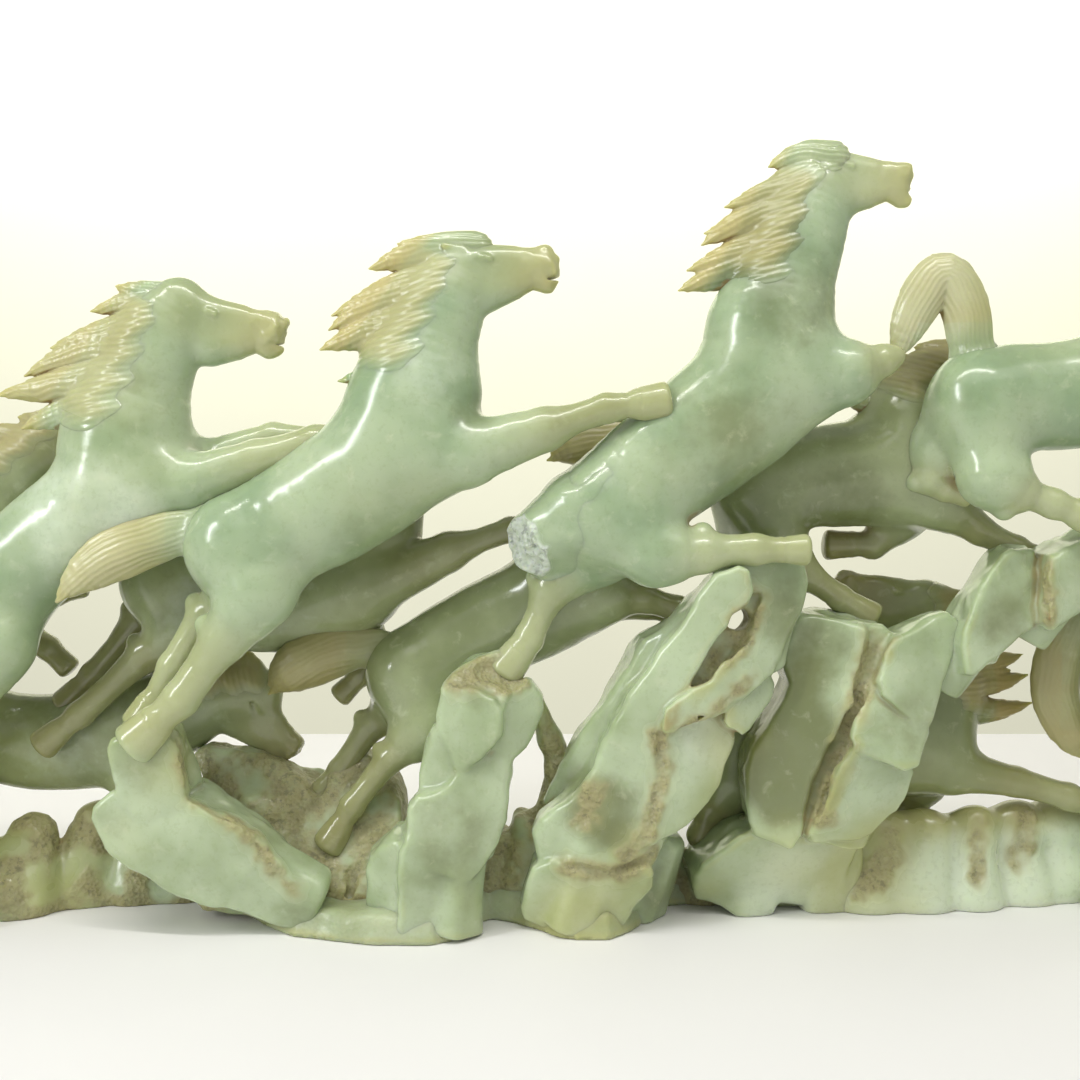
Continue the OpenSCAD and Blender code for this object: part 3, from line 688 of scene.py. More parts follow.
def neck_point(spec, t):
    """A point in the neck, as [x, z, radius]: 0 is at the withers and 1 at the poll."""
    neck = neck_of(spec)
    s = t * (len(neck) - 1)
    k = int(np.clip(s, 0, len(neck) - 2))
    return neck[k] + (neck[k + 1] - neck[k]) * (s - k)


def lie_of(angle):
    """The way that hair lies, in the XZ plane."""
    return np.array([math.cos(angle), math.sin(angle)])


# How far up the neck a mane goes, 1 being the poll
CREST = 1.3
# Distances between two lines of hair: on the neck, in its locks and in the tail, and the
# width of the clumps that they lie in on the neck
HAIR_PITCH, LOCK_PITCH, TAIL_PITCH, CLUMP_PITCH = 2.3, 2.0, 1.9, 9.5
LOCK_ROWS, LOCK_TIP_THICK = 14, 1.6
# The least width of a lock, and how much wider the widest is
LOCK_WIDTH, LOCK_SPREAD = 6.5, 2.5
# How far a mane's and a tail's own stone goes in under the horse's skin
MANE_DEPTH, TAIL_DEPTH = 3.5, 5.5
# How far the hindquarters in a tail's stone lie under the horse's skin, so as not to show
SUNK = 1.3


def comb(clay, rows, k, pitch):
    """Adds a row of cones with fine lines of hair running along it."""
    rows = np.asarray(rows, float)
    cut, x, y, z = clay.window(*room_for(rows, 4))
    dist = np.full(clay.d[cut].shape, FAR, np.float32)
    if dist.size == 0:
        return
    across = np.zeros_like(dist)
    for a, b in zip(rows[:-1], rows[1:]):
        e, _, v = cone(x, y, z, a, b)
        nearer = e < dist
        dist = np.where(nearer, e, dist)
        across = np.where(nearer, v, across)
    if clay.wander is None:
        clay.wander = lattice(clay, 7, 77)
    lines = waves(across + 0.9 * clay.wander[cut], pitch)
    clay.add(cut, dist + 0.34 * lines * (1 - smoothstep(2, 4, np.abs(dist))), k)


def add_lock(clay, root, tip, width, y, thick_root, sag):
    """One pointed lock of hair from root to tip, with fine lines along it."""
    along = tip - root
    side = np.array([-along[1], along[0]])
    rows = []
    for t in np.linspace(0, 1, LOCK_ROWS):
        p = root + along * t + side * sag * math.sin(math.pi * t)
        w = width * (1 - 0.93 * t**2.2)
        thick = thick_root + (LOCK_TIP_THICK - thick_root) * t
        rows.append([p[0], y, p[1], w, min(thick / w, 1.0)])
    comb(clay, rows, 0.5, LOCK_PITCH)


def hair_shell(clay, spec, angle, begin, seed):
    """Height of the combed hair that lies on the neck: full along the crest, and fading out
    to nothing before the throat."""
    _, x, _, z = clay.everywhere()
    neck = neck_of(spec)
    nearest = np.full(np.broadcast(x, z).shape, 1e9)
    across, along = np.zeros_like(nearest), np.zeros_like(nearest)
    flip = -1 if angle < 90 else 1
    crest = spec.get("crest", CREST)
    for k in range(len(neck) - 1):
        d = neck[k + 1][:2] - neck[k][:2]
        t = ((x - neck[k][0]) * d[0] + (z - neck[k][1]) * d[1]) / (d @ d)
        t = np.clip(t, -0.9 if k == 0 else 0, 1 + 3 * (crest - 1) if k == len(neck) - 2 else 1)
        ox, oz = x - neck[k][0] - t * d[0], z - neck[k][1] - t * d[1]
        r = neck[k][2] + t * (neck[k + 1][2] - neck[k][2])
        far = np.hypot(ox, oz)
        side = flip * (oz * d[0] - ox * d[1]) / np.linalg.norm(d) / r
        nearer = far < nearest
        nearest = np.where(nearer, far, nearest)
        across = np.where(nearer, side, across)
        along = np.where(nearer, (k + t) / (len(neck) - 1), along)
    wander = lattice(clay, 14, seed)
    turn = math.radians(angle)
    stripe = x * math.sin(turn) - z * math.cos(turn) + wander
    cover = smoothstep(-0.2, 0.65, across + 0.09 * np.sin(stripe * (2 * math.pi / CLUMP_PITCH)))
    cover = cover * smoothstep(begin - 0.14, begin + 0.16, along)
    cover = cover * (1 - smoothstep(crest - 0.3, crest, along))
    sunk = 4.5 * (1 - smoothstep(0.02, 0.3, cover))
    lines = 0.38 * waves(stripe, HAIR_PITCH) + 0.35 * waves(stripe, CLUMP_PITCH)
    return 2.2 * cover**2 - 0.2 - sunk - cover * lines, cover


def lock_tips(spec, rng):
    """Tips of a mane's locks: as listed, or in a row beyond the crest."""
    if "tips" in spec:
        return spec["tips"]
    count, reach, angle, begin = spec["mane"]
    tips = []
    for j in range(count - 2):
        t = begin + (1.1 - begin) * j / (count - 3)
        p = neck_point(spec, t)
        turn = math.radians(angle + rng.uniform(-6, 6))
        length = p[2] * 0.7 + reach * (0.75 if j % 2 else 1.0) * (1.0 - 0.35 * t)
        tips.append(p[:2] + length * lie_of(turn))
    return tips


def mane_locks(spec, rng):
    """Each lock's root on the neck, its tip, and the neck's half thickness at its root."""
    _, _, angle, begin = spec["mane"]
    steps = np.linspace(begin, spec.get("crest", CREST), 40)
    neck = np.array([neck_point(spec, t) for t in steps])
    lie = lie_of(math.radians(angle))
    locks = []
    for tip in lock_tips(spec, rng):
        toward = neck[:, :2] - tip
        toward /= np.linalg.norm(toward, axis=1, keepdims=True)
        root = neck[int(np.argmax(toward @ -lie))]
        locks.append((root[:2], np.asarray(tip, float), root[2] * NECK_FLAT,
                      rng.uniform(-1, 1), rng.uniform(-0.1, 0.04)))
    return locks


def horse_mane(i, material):
    spec, y = HORSES[i], plane_of(i)
    _, _, angle, begin = spec["mane"]
    locks = mane_locks(spec, np.random.default_rng(100 + i))
    pts = np.array([q for lock in locks for q in lock[:2]])
    neck = neck_of(spec)
    low = np.minimum(pts.min(0), (neck[:, :2] - neck[:, 2:3]).min(0)) - 5
    high = np.maximum(pts.max(0), (neck[:, :2] + neck[:, 2:3]).max(0)) + 7
    box = ([low[0], y - 19, low[1]], [high[0], y + 19, high[1]])
    step = BACK_HAIR_STEP if i in BACK_ROW else HAIR_STEP
    clay, hair = Clay(*box, step), Clay(*box, step)
    head = Head(spec["head"], y)
    add_trunk(clay, spec, y)
    add_neck(clay, spec, y)
    add_head(clay, head)
    inside = clay.d.copy()
    height, cover = hair_shell(clay, spec, angle, begin, 200 + i)
    shell = inside - height
    narrow = spec.get("lock", LOCK_WIDTH)
    for root, tip, thick, shift, sag in locks:
        width = float(np.clip(0.21 * np.linalg.norm(tip - root), narrow, narrow + LOCK_SPREAD))
        add_lock(hair, root, tip, width, y + shift * 0.8, thick * 0.95, sag)
    outer = smooth_min(shell, hair.d, 2.5)
    # Only the hair and a skin of stone under it belong to this piece
    clay.d = smooth_max(outer, -(inside + MANE_DEPTH), 0.8)
    cover = np.ascontiguousarray(np.broadcast_to(cover, clay.d.shape), np.float32)
    brown = body_tan(spec, y, head)

    def tan(p, n):
        lying = 0.7 * smoothstep(0.3, 1.2, clay.sample(p, cover))
        free = smoothstep(1.5, 9, clay.sample(p, inside))
        return np.maximum(np.maximum(lying, brown(p, n)), free)

    return build(f"horse_{i}_carved_mane", clay, material, [f"horse_{i}_mane"], tan,
                 rough=lambda p, n: 0.3 * smoothstep(0.3, 0.9, clay.sample(p, cover)),
                 whole=np.ascontiguousarray(np.minimum(inside, outer), np.float32))


def add_hindquarters(clay, spec, y):
    add_trunk(clay, spec, y)
    for k in HIND_LEGS:
        add_leg(clay, spec, k, y)
    clay.d += SUNK


def broken_tail(i, material):
    """The stump where a tail snapped off: a rough, sugary face of broken stone."""
    spec, y = HORSES[i], plane_of(i)
    (x0, z0, r0), (x1, z1, r1) = spec["tail"][0], spec["tail"][-1]
    box = ([x1 - 18, y - 22, z1 - 24], [x0 + 26, y + 22, z0 + 24])
    clay, stub = Clay(*box, HAIR_STEP), Clay(*box, HAIR_STEP)
    add_hindquarters(clay, spec, y)
    stub.add_chain([[x0 + 12, y, z0 + 3, r0 * 1.4, 0.8], [x0 + 2, y, z0, r0 * 1.3, 0.85],
                    [x1 + 2, y, z1, r1 * 1.15, 0.9]], 2.0)
    clay.d = smooth_max(smooth_min(clay.d, stub.d, 9.0), stub.d - 8.0, 1.0)
    clay.d += 0.7 * lattice(clay, 8, 40)
    cut = clay.everywhere()[0]
    face = beyond(clay, cut, (x1 + 1, y, z1), unit([-0.62, -0.66, -0.34]))
    face = face - 5.0 + 2.0 * lattice(clay, 7, 41) + 0.9 * lattice(clay, 2.2, 42)
    clay.d = smooth_max(clay.d, face, 0.6)
    broken = 1 - smoothstep(0.4, 2.4, np.abs(face))
    return build(f"horse_{i}_broken_tail", clay, material, [f"horse_{i}_tail"],
                 rough=lambda p, n: clay.sample(p, broken))


def horse_tail(i, material):
    spec, y = HORSES[i], plane_of(i)
    rows = curve(spec["tail"], 4)
    low, high = rows[:, :2].min(0) - 14, rows[:, :2].max(0) + 14
    box = ([low[0], y - 14, low[1]], [high[0], y + 14, high[1]])
    step = BACK_HAIR_STEP if i in BACK_ROW else HAIR_STEP
    clay, hair = Clay(*box, step), Clay(*box, step)
    add_hindquarters(clay, spec, y)
    inside = clay.d.copy()
    along = np.gradient(rows[:, :2], axis=0)
    side = np.stack([-along[:, 1], along[:, 0]], 1)
    side = side / (np.linalg.norm(along, axis=1)[:, None] + 1e-9)
    # Locks lie side by side, and the outer ones end sooner
    for u, stop, wide in ((0.0, 0, 0.8), (-0.42, 1, 0.56), (0.42, 2, 0.56), (-0.68, 3, 0.34),
                          (0.7, 4, 0.32)):
        p = rows[:, :2] + side * (rows[:, 2] * u)[:, None]
        end = len(rows) - stop
        fade = np.ones(end)
        fade[-4:] = [0.85, 0.66, 0.42, 0.14]
        chain = np.column_stack([p[:end, 0], np.full(end, y + 1.6 * u), p[:end, 1],
                                 rows[:end, 2] * wide * fade + 0.5, np.full(end, 0.8)])
        comb(hair, chain, 1.4, TAIL_PITCH)
    clay.d = smooth_max(smooth_min(clay.d, hair.d, 5.0), hair.d - TAIL_DEPTH, 1.0)
    return build(f"horse_{i}_carved_tail", clay, material, [f"horse_{i}_tail"],
                 lambda p, n: 0.1 + 0.6 * smoothstep(1, 16, clay.sample(p, inside)), rough=0.25,
                 whole=np.ascontiguousarray(np.minimum(inside, clay.d), np.float32))


# ------------------------------------------------------------------- rocks
# How far neighbouring leaves of rock reach into each other
LEAF_OVERLAP = 1.6


def outline_distance(points, x, y):
    """Signed distance in a plane to a closed outline, less than nothing inside it."""
    p = np.asarray(points, float)
    q = np.roll(p, -1, axis=0)
    best = np.full(np.broadcast(x, y).shape, 1e9, np.float32)
    inside = np.zeros(best.shape, bool)
    for a, b in zip(p, q):
        dx, dy = b - a
        t = np.clip(((x - a[0]) * dx + (y - a[1]) * dy) / (dx * dx + dy * dy + 1e-9), 0, 1)
        best = np.minimum(best, (x - a[0] - t * dx) ** 2 + (y - a[1] - t * dy) ** 2)
        if dy:
            crosses = ((a[1] > y) != (b[1] > y)) & (x < a[0] + (y - a[1]) * dx / dy)
            inside ^= crosses
    best = np.sqrt(best)
    return np.where(inside, -best, best)


def rounded(outline, share=0.14):
    """An outline with each corner cut off, so that it turns softly."""
    p = np.asarray(outline, float)
    q = np.roll(p, -1, axis=0)
    return np.stack([p + (q - p) * share, q + (p - q) * share], 1).reshape(-1, 2)


def plate(clay, face, back, turn, tip, crown, outline):
    """A thick leaf of rock with a polished face. The face is at y = face in its middle, and
    turn and tip slope it along x and z. Its edges fall back by crown."""
    p = np.asarray(outline, float)
    low, high = p.min(0) - 5, p.max(0) + 5
    middle, half = (low + high) / 2, (high - low) / 2
    slope = abs(turn) * half[0] + abs(tip) * half[1]
    cut, x, y, z = clay.window([low[0], face - slope - 5, low[1]], [high[0], back + 6, high[1]])
    if clay.wander is None:
        clay.wander = 0.9 * lattice(clay, 10, 55) + 0.35 * lattice(clay, 4, 56)
    edge = outline_distance(rounded(outline), x, z) - LEAF_OVERLAP + clay.wander[cut]
    u, v = (x - middle[0]) / half[0], (z - middle[1]) / half[1]
    front = face + turn * (x - middle[0]) + tip * (z - middle[1]) + crown * (u * u + v * v) - y
    dist = smooth_max(edge, front.astype(np.float32), 2.6)
    clay.add(cut, smooth_max(dist, y - back, 5.0), 1.8)


def shard(clay, foot, top, seed, k):
    """A leaning column of rock with flat sides and a sloping top."""
    rng = np.random.default_rng(seed)
    foot, top = np.asarray(foot, float), np.asarray(top, float)
    axis = unit(top[:3] - foot[:3])
    length = np.linalg.norm(top[:3] - foot[:3])
    reach = max(foot[3], top[3]) + 6
    low = np.minimum(foot[:3], top[:3]) - reach
    high = np.maximum(foot[:3], top[:3]) + reach
    cut, x, y, z = clay.window(low, high)
    px, py, pz = x - foot[0], y - foot[1], z - foot[2]
    t = px * axis[0] + py * axis[1] + pz * axis[2]
    r = foot[3] + np.clip(t / length, -0.2, 1.3) * (top[3] - foot[3])
    helper = unit(np.cross(axis, [0.0, 1.0, 0.0]))
    other = np.cross(axis, helper)
    dist = None
    turn = rng.uniform(0, 1)
    for j in range(6):
        a = (j + turn + rng.uniform(-0.25, 0.25)) * math.pi / 3
        n = unit((helper * math.cos(a) + other * math.sin(a)) * [1, 1.15, 1])
        e = px * n[0] + py * n[1] + pz * n[2] - r * rng.uniform(0.78, 0.98)
        dist = e if dist is None else smooth_max(dist, e, 3.5)
    lean = unit(axis + rng.uniform(-0.35, 0.35, 3))
    e = (px * lean[0] + py * lean[1] + pz * lean[2]) - (length + top[3] * 0.55) * float(axis @ lean)
    dist = smooth_max(dist, e, 3.5)
    dist = smooth_max(dist, -(t + foot[3] * 0.6), 1.8)
    clay.add(cut, dist, k)


# A crag's cores are leaning columns, each [x, y, z, radius] at its foot and at its top.
CORES = {
    "crag_1": [
        [[-262, 8, 12, 26], [-270, 12, 34, 15]], [[-290, 14, 12, 18], [-288, 18, 40, 10]],
        [[-270, 24, 20, 18], [-268, 24, 46, 9]], [[-240, -2, 12, 22], [-244, 0, 40, 12]],
        [[-236, -10, 20, 14], [-234, -12, 52, 8]], [[-222, -14, 16, 16], [-228, -18, 48, 8]],
        [[-252, 20, 14, 20], [-250, 22, 32, 10]], [[-296, 4, 8, 14], [-300, 6, 22, 8]]],
    "ledge_left": [
        [[-200, 8, 4, 19], [-196, 12, 26, 10]], [[-180, 20, 4, 18], [-174, 24, 28, 9]],
        [[-160, 24, 4, 17], [-156, 28, 27, 9]], [[-140, 26, 4, 16], [-136, 28, 26, 9]],
        [[-222, 4, 4, 19], [-218, 8, 25, 10]], [[-124, 28, 6, 15], [-120, 30, 25, 8]]],
    "crag_2": [
        [[-138, -20, 42, 9], [-138, -20, 62, 8]], [[-136, -18, 38, 11], [-106, -18, 26, 12]],
        [[-112, -18, 28, 12], [-84, -18, 14, 10]]],
    "hollow": [
        [[-110, 8, 12, 18], [-106, 10, 40, 12]], [[-90, 8, 12, 18], [-86, 10, 32, 12]],
        [[-70, 8, 12, 16], [-66, 8, 32, 10]], [[-100, 20, 14, 16], [-90, 18, 42, 10]]],
    "crag_3": [
        [[-46, -16, 10, 14], [-42, -18, 28, 12]], [[-32, -20, 10, 13], [-28, -20, 40, 12]],
        [[-27, -20, 36, 12], [-25, -20, 62, 11]], [[-22, -19, 56, 10], [-17, -19, 88, 8]]],
    "pillar": [
        [[-26, 8, 8, 14], [-16, 10, 26, 9]], [[-4, 8, 8, 14], [-2, 8, 30, 10]],
        [[14, 6, 8, 12], [8, 6, 32, 8]], [[2, 8, 30, 8], [8, 6, 52, 5]],
        [[8, 6, 50, 6], [3, 4, 70, 4]], [[3, 4, 68, 4], [-2, 0, 84, 4]]],
    "crag_4": [
        [[14, -16, 10, 14], [20, -18, 34, 13]], [[14, -18, 28, 11], [28, -20, 54, 12]],
        [[34, -20, 36, 12], [48, -20, 62, 12]], [[40, -20, 60, 11], [54, -20, 86, 11]],
        [[52, -20, 84, 8], [58, -20, 118, 6]], [[87, -20, 122, 6], [82, -20, 98, 7]],
        [[78, -20, 100, 8], [64, -20, 88, 9]], [[36, 0, 10, 14], [44, -2, 28, 11]]],
    "saddle": [
        [[64, 22, 4, 15], [70, 20, 24, 9]], [[84, 22, 4, 15], [90, 18, 26, 9]],
        [[46, 24, 4, 15], [44, 22, 28, 9]], [[26, 24, 4, 15], [24, 20, 27, 9]],
        [[104, 24, 4, 15], [100, 22, 27, 9]], [[8, 24, 4, 14], [6, 22, 25, 9]],
        [[122, 26, 6, 14], [118, 26, 27, 8]]],
    "crag_5": [
        [[88, -2, 36, 10], [88, -6, 62, 11]], [[90, -6, 58, 12], [106, -6, 100, 10]],
        [[112, -4, 38, 12], [120, -8, 68, 14]], [[124, -8, 60, 13], [142, -8, 100, 9]],
        [[112, 14, 8, 14], [112, 4, 40, 12]], [[78, 8, 8, 14], [92, 4, 34, 10]]],
    "crag_6": [
        [[150, -6, 92, 10], [164, -8, 116, 12]], [[162, -6, 106, 11], [174, -10, 130, 11]],
        [[182, -4, 110, 10], [192, -8, 128, 11]], [[176, -8, 124, 9], [198, -10, 138, 8]]],
    "ledge_right": [
        [[122, 14, 25, 9], [224, 28, 27, 9]], [[122, 14, 5, 15], [224, 28, 5, 12]],
        [[126, 12, 4, 16], [132, 14, 25, 10]], [[146, 12, 4, 16], [150, 14, 28, 9]],
        [[166, 14, 4, 15], [168, 16, 29, 9]], [[186, 20, 4, 15], [186, 22, 28, 9]],
        [[204, 26, 4, 15], [203, 28, 28, 9]], [[220, 28, 4, 14], [218, 28, 27, 9]]],
    "crag_7": [
        [[228, 8, 12, 20], [228, 8, 36, 11]], [[246, 6, 12, 20], [244, 8, 38, 10]],
        [[266, 4, 12, 20], [268, 4, 48, 11]], [[284, 2, 10, 16], [290, 4, 44, 9]],
        [[276, 12, 20, 16], [270, 12, 60, 8]], [[294, 6, 24, 11], [306, 6, 66, 6]],
        [[250, -14, 12, 16], [246, -16, 60, 9]], [[246, -16, 56, 9], [240, -16, 100, 8]],
        [[240, -16, 96, 8], [238, -14, 140, 6]], [[272, -14, 14, 15], [278, -16, 70, 8]],
        [[278, -16, 66, 8], [286, -16, 120, 6]], [[286, -16, 116, 6], [284, -16, 158, 5]]],
}
# Rock that is worn into round ridges, and rock that the chisel left rough all over
WORN = ("ledge_left", "saddle", "ledge_right")
ROUGH = ("hollow", "pillar", "saddle", "ledge_left", "ledge_right")

# The polished leaves in front of the cores, each face, back, turn, tip, crown and outline.
PLATES = {
    "crag_2": [
        (-34, -8, 0.0, 0.0, 3, [(-150, 70), (-142, 77), (-130, 74), (-125, 50), (-142, 44),
                                (-150, 56)]),
        (-31, 0, 0.05, -0.1, 3, [(-157, 46), (-150, 54), (-124, 50), (-104, 38), (-90, 24),
                                 (-77, 0), (-98, 6), (-128, 17), (-152, 32)]),
    ],
    "hollow": [
        (-4, 26, 0.0, 0.55, 0, [(-132, 60), (-104, 56), (-84, 44), (-72, 60), (-54, 46),
                                (-52, 20), (-60, 0), (-84, 0), (-104, 24), (-124, 44)]),
    ],
    "crag_3": [
        (-26, -8, 0.0, 0.7, 0, [(-33, 89), (-24, 97), (-12, 101), (-7, 94), (-15, 84)]),
        (-33, -10, -0.25, 0.1, 1, [(-32, 90), (-15, 84), (-16, 73), (-28, 61), (-35, 78)]),
        (-27, -12, 0.5, 0.0, 1, [(-4, 92), (0, 84), (-6, 71), (-14, 65), (-17, 76), (-10, 88)]),
        (-30, -8, -0.3, -0.05, 1, [(-36, 76), (-28, 62), (-24, 52), (-33, 43), (-40, 50),
                                   (-41, 60)]),
        (-34, -8, 0.15, 0.02, 2, [(-32, 54), (-25, 64), (-13, 66), (-13, 44), (-17, 34),
                                  (-26, 21), (-38, 27), (-46, 36), (-43, 50)]),
        (-27, 0, -0.35, -0.2, 2, [(-62, 26), (-50, 36), (-45, 20), (-48, 0), (-61, 4)]),
        (-32, 0, 0.4, -0.1, 2, [(-48, 38), (-49, 0), (-36, 0), (-21, 24), (-32, 32)]),
    ],
    "crag_4": [
        (-33, -10, -0.18, -0.02, 1, [(70, 132), (60, 128), (28, 80), (20, 58), (0, 38), (2, 26),
                                     (22, 26), (40, 40), (42, 72), (50, 92), (58, 108), (72, 124)]),
        (-33, -12, 0.3, 0.05, 1, [(62, 134), (92, 134), (94, 126), (86, 106), (80, 94), (58, 82),
                                  (44, 76), (46, 84), (62, 94), (72, 106), (80, 124), (66, 124)]),
        (-27, -12, 0.1, 0.0, 0, [(62, 128), (82, 126), (80, 104), (62, 88), (50, 88), (56, 108)]),
        (-28, -10, 0.6, 0.1, 1, [(67, 86), (80, 95), (84, 89), (72, 74), (66, 78)]),
        (-31, -8, 0.28, -0.05, 1, [(45, 74), (62, 83), (69, 74), (60, 52), (50, 40), (38, 36),
                                   (42, 58)]),
        (-27, 14, -0.1, -0.25, 2, [(0, 26), (-7, 6), (8, 0), (28, 0), (40, 22), (30, 32)]),
        (-14, 20, 0.9, -0.1, 2, [(22, 26), (24, 0), (46, 12), (53, 28), (38, 38)]),
        (-20, 0, -0.4, 0.0, 2, [(50, 112), (36, 104), (28, 87), (12, 64), (2, 42), (26, 50),
                                (44, 84)]),
    ],
    "crag_5": [
        (-21, 8, -0.2, 0.05, 1, [(92, 113), (88, 100), (92, 88), (76, 62), (77, 36), (92, 32),
                                 (97, 60), (116, 98), (118, 111), (104, 113)]),
        (-17, 10, 0.0, 0.0, 0, [(112, 112), (126, 110), (128, 92), (112, 46), (88, 34), (98, 66)]),
        (-22, 6, 0.3, 0.1, 1, [(124, 104), (146, 114), (152, 110), (146, 90), (138, 76), (121, 90)]),
        (-25, 4, 0.2, 0.35, 1, [(118, 90), (131, 87), (138, 75), (132, 62), (111, 69)]),
        (-24, 4, 0.25, -0.3, 1, [(112, 69), (122, 68), (133, 60), (130, 46), (118, 36), (97, 34),
                                 (104, 52)]),
        (-8, 24, 0.1, -0.5, 2, [(76, 36), (94, 30), (120, 36), (110, 5), (60, 5), (58, 18)]),
    ],
    "crag_6": [
        (-22, 4, 0.3, 0.0, 1, [(150, 106), (158, 124), (168, 138), (180, 138), (178, 112),
                               (166, 104), (153, 93)]),
        (-21, 4, 0.35, 0.0, 1, [(180, 135), (196, 141), (207, 136), (198, 120), (181, 110)]),
    ],
}

# Gritty grooves that the chisel cut, each a row of [x, y, z, radius].
GROOVES = {
    "crag_2": [[[-126, -31, 66, 1.2], [-122, -30, 52, 1.3], [-104, -30, 40, 1.2],
                [-86, -30, 16, 0.3]],
               [[-126, -28, 70, 2.0], [-120, -27, 60, 2.4], [-108, -26, 44, 1.6]]],
    "hollow": [[[-86, -8, 48, 4.4], [-84, 8, 48, 3.6]],
               [[-103, -8, 48, 2.0], [-96, -8, 38, 2.2], [-90, -10, 36, 2.0]],
               [[-70, -6, 50, 2.2], [-66, -10, 30, 2.4], [-70, -12, 12, 2.2]]],
    "crag_3": [[[-28, -30, 95, 5.0], [-17, -27, 98, 7.0], [-10, -26, 95, 5.6]]],
    "crag_4": [[[75, -32, 122, 2.6], [70, -31, 108, 3.4], [60, -31, 96, 2.6], [52, -33, 86, 1.4]],
               [[70, -60, 114, 4.2], [70, 20, 114, 4.2]],
               [[42, -34, 74, 1.4], [42, -34, 58, 1.8], [38, -34, 40, 2.0], [30, -33, 30, 1.6]],
               [[44, -36, 77, 0.8], [62, -36, 84, 1.0], [76, -34, 95, 0.8]],
               [[18, -32, 54, 2.6], [15, -31, 44, 2.8]],
               [[10, -30, 27, 1.4], [24, -31, 24, 2.2], [40, -30, 30, 1.8]]],
    "crag_5": [[[121, -21, 108, 3.0], [112, -21, 78, 3.4], [101, -21, 44, 3.0]]],
    "crag_6": [[[178, -24, 138, 1.4], [180, -24, 110, 1.6]]],
    "ledge_right": [[[141, -1, 38, 8], [134, -2, 26, 8], [120, -6, 10, 5]],
                    [[168, 7, 36, 2.6], [166, 3.4, 14, 2.2]],
                    [[190, 12.4, 37, 5], [184, 7.4, 18, 5]]],
}


def crag(name, material):
    cores = np.array(CORES[name], float)
    ends = cores.reshape(-1, 4)
    low, high = (ends[:, :3] - ends[:, 3:4]).min(0) - 4, (ends[:, :3] + ends[:, 3:4]).max(0) + 4
    for face, back, _, _, _, outline in PLATES.get(name, []):
        corners = np.asarray(outline, float)
        low = np.minimum(low, [corners[:, 0].min() - 3, face - 7, corners[:, 1].min() - 3])
        high = np.maximum(high, [corners[:, 0].max() + 3, back + 3, corners[:, 1].max() + 3])
    low[1], low[2], high[1] = max(low[1], -46), -1, min(high[1], 46)
    clay = Clay(low, high, ROCK_STEP)
    for j, (foot, top) in enumerate(cores):
        if name in WORN:
            clay.add_chain([[*foot, 0.85], [*top, 0.85]], 4.0)
        else:
            shard(clay, foot, top, 31 * len(name) + j, 3.0)
    for leaf in PLATES.get(name, []):
        plate(clay, *leaf)
    if name in WORN:
        clay.d += 1.5 * lattice(clay, 16, 9)
        grit = (9.0 if name == "ledge_right" else 0.8) + 7.0 * lattice(clay, 9, 4)
    elif name in ROUGH:
        grit = 0.5 + 3.0 * lattice(clay, 12, 4)
    else:
        grit = np.full(clay.d.shape, FAR, np.float32)
    for groove in GROOVES.get(name, []):
        cut, dist = clay.chain([[*row, 1.0] for row in groove])
        clay.carve(cut, dist, 1.6)
        grit[cut] = np.minimum(grit[cut], dist)
    grit = grit + 1.4 * lattice(clay, 7, 11) + 1.3 * lattice(clay, 2.4, 12)
    coarse = (1 - smoothstep(-1.4, 6.2, grit)).astype(np.float32)
    clay.d += 1.1 * lattice(clay, 19, 5) + 0.3 * lattice(clay, 7, 8)
    clay.d += coarse * (0.6 * lattice(clay, 5, 6) + 0.3 * lattice(clay, 2.4, 7))
    clay.d = smooth_max(clay.d, -clay.everywhere()[3], 0.5)
    return build(f"{name}_carved", clay, material, [name],
                 lambda p, n: 0.1 + 0.4 * clay.sample(p, coarse)
                 + (0.6 * smoothstep(24, 36, p[:, 2]) if name in WORN else 0.0),
                 rough=lambda p, n: clay.sample(p, coarse))


SLAB_OUTLINE = [
    [-306, 20], [-290, -8], [-250, -16], [-200, -8], [-184, 14], [-160, 22], [-128, 20],
    [-92, -24], [-62, -34], [-34, -34], [-20, -6], [-8, -10], [10, -30], [28, -30],
    [46, 8], [62, 14], [112, 6], [146, 0], [182, 12], [212, 20], [236, -22], [290, -26],
    [306, 4], [294, 38], [220, 45], [120, 44], [30, 42], [-60, 42], [-150, 45],
    [-230, 45], [-290, 38]]


def slab(material):
    clay = Clay([-312, -44, -2], [312, 50, SLAB_TOP + 6], SLAB_STEP)
    _, x, y, z = clay.everywhere()
    edge = outline_distance(rounded(SLAB_OUTLINE), x, y)
    top = z - (SLAB_TOP - 1 + 1.2 * lattice(clay, 22, 3) + 0.6 * lattice(clay, 6, 4))
    clay.d = smooth_max(edge + 1.2 * lattice(clay, 9, 8) + 1.0 + 0.3 * (z - 4), top, 4.0)
    clay.d = smooth_max(clay.d, -z, 0.3)
    return build("slab_carved", clay, material, ["base_slab"], rough=0.6)


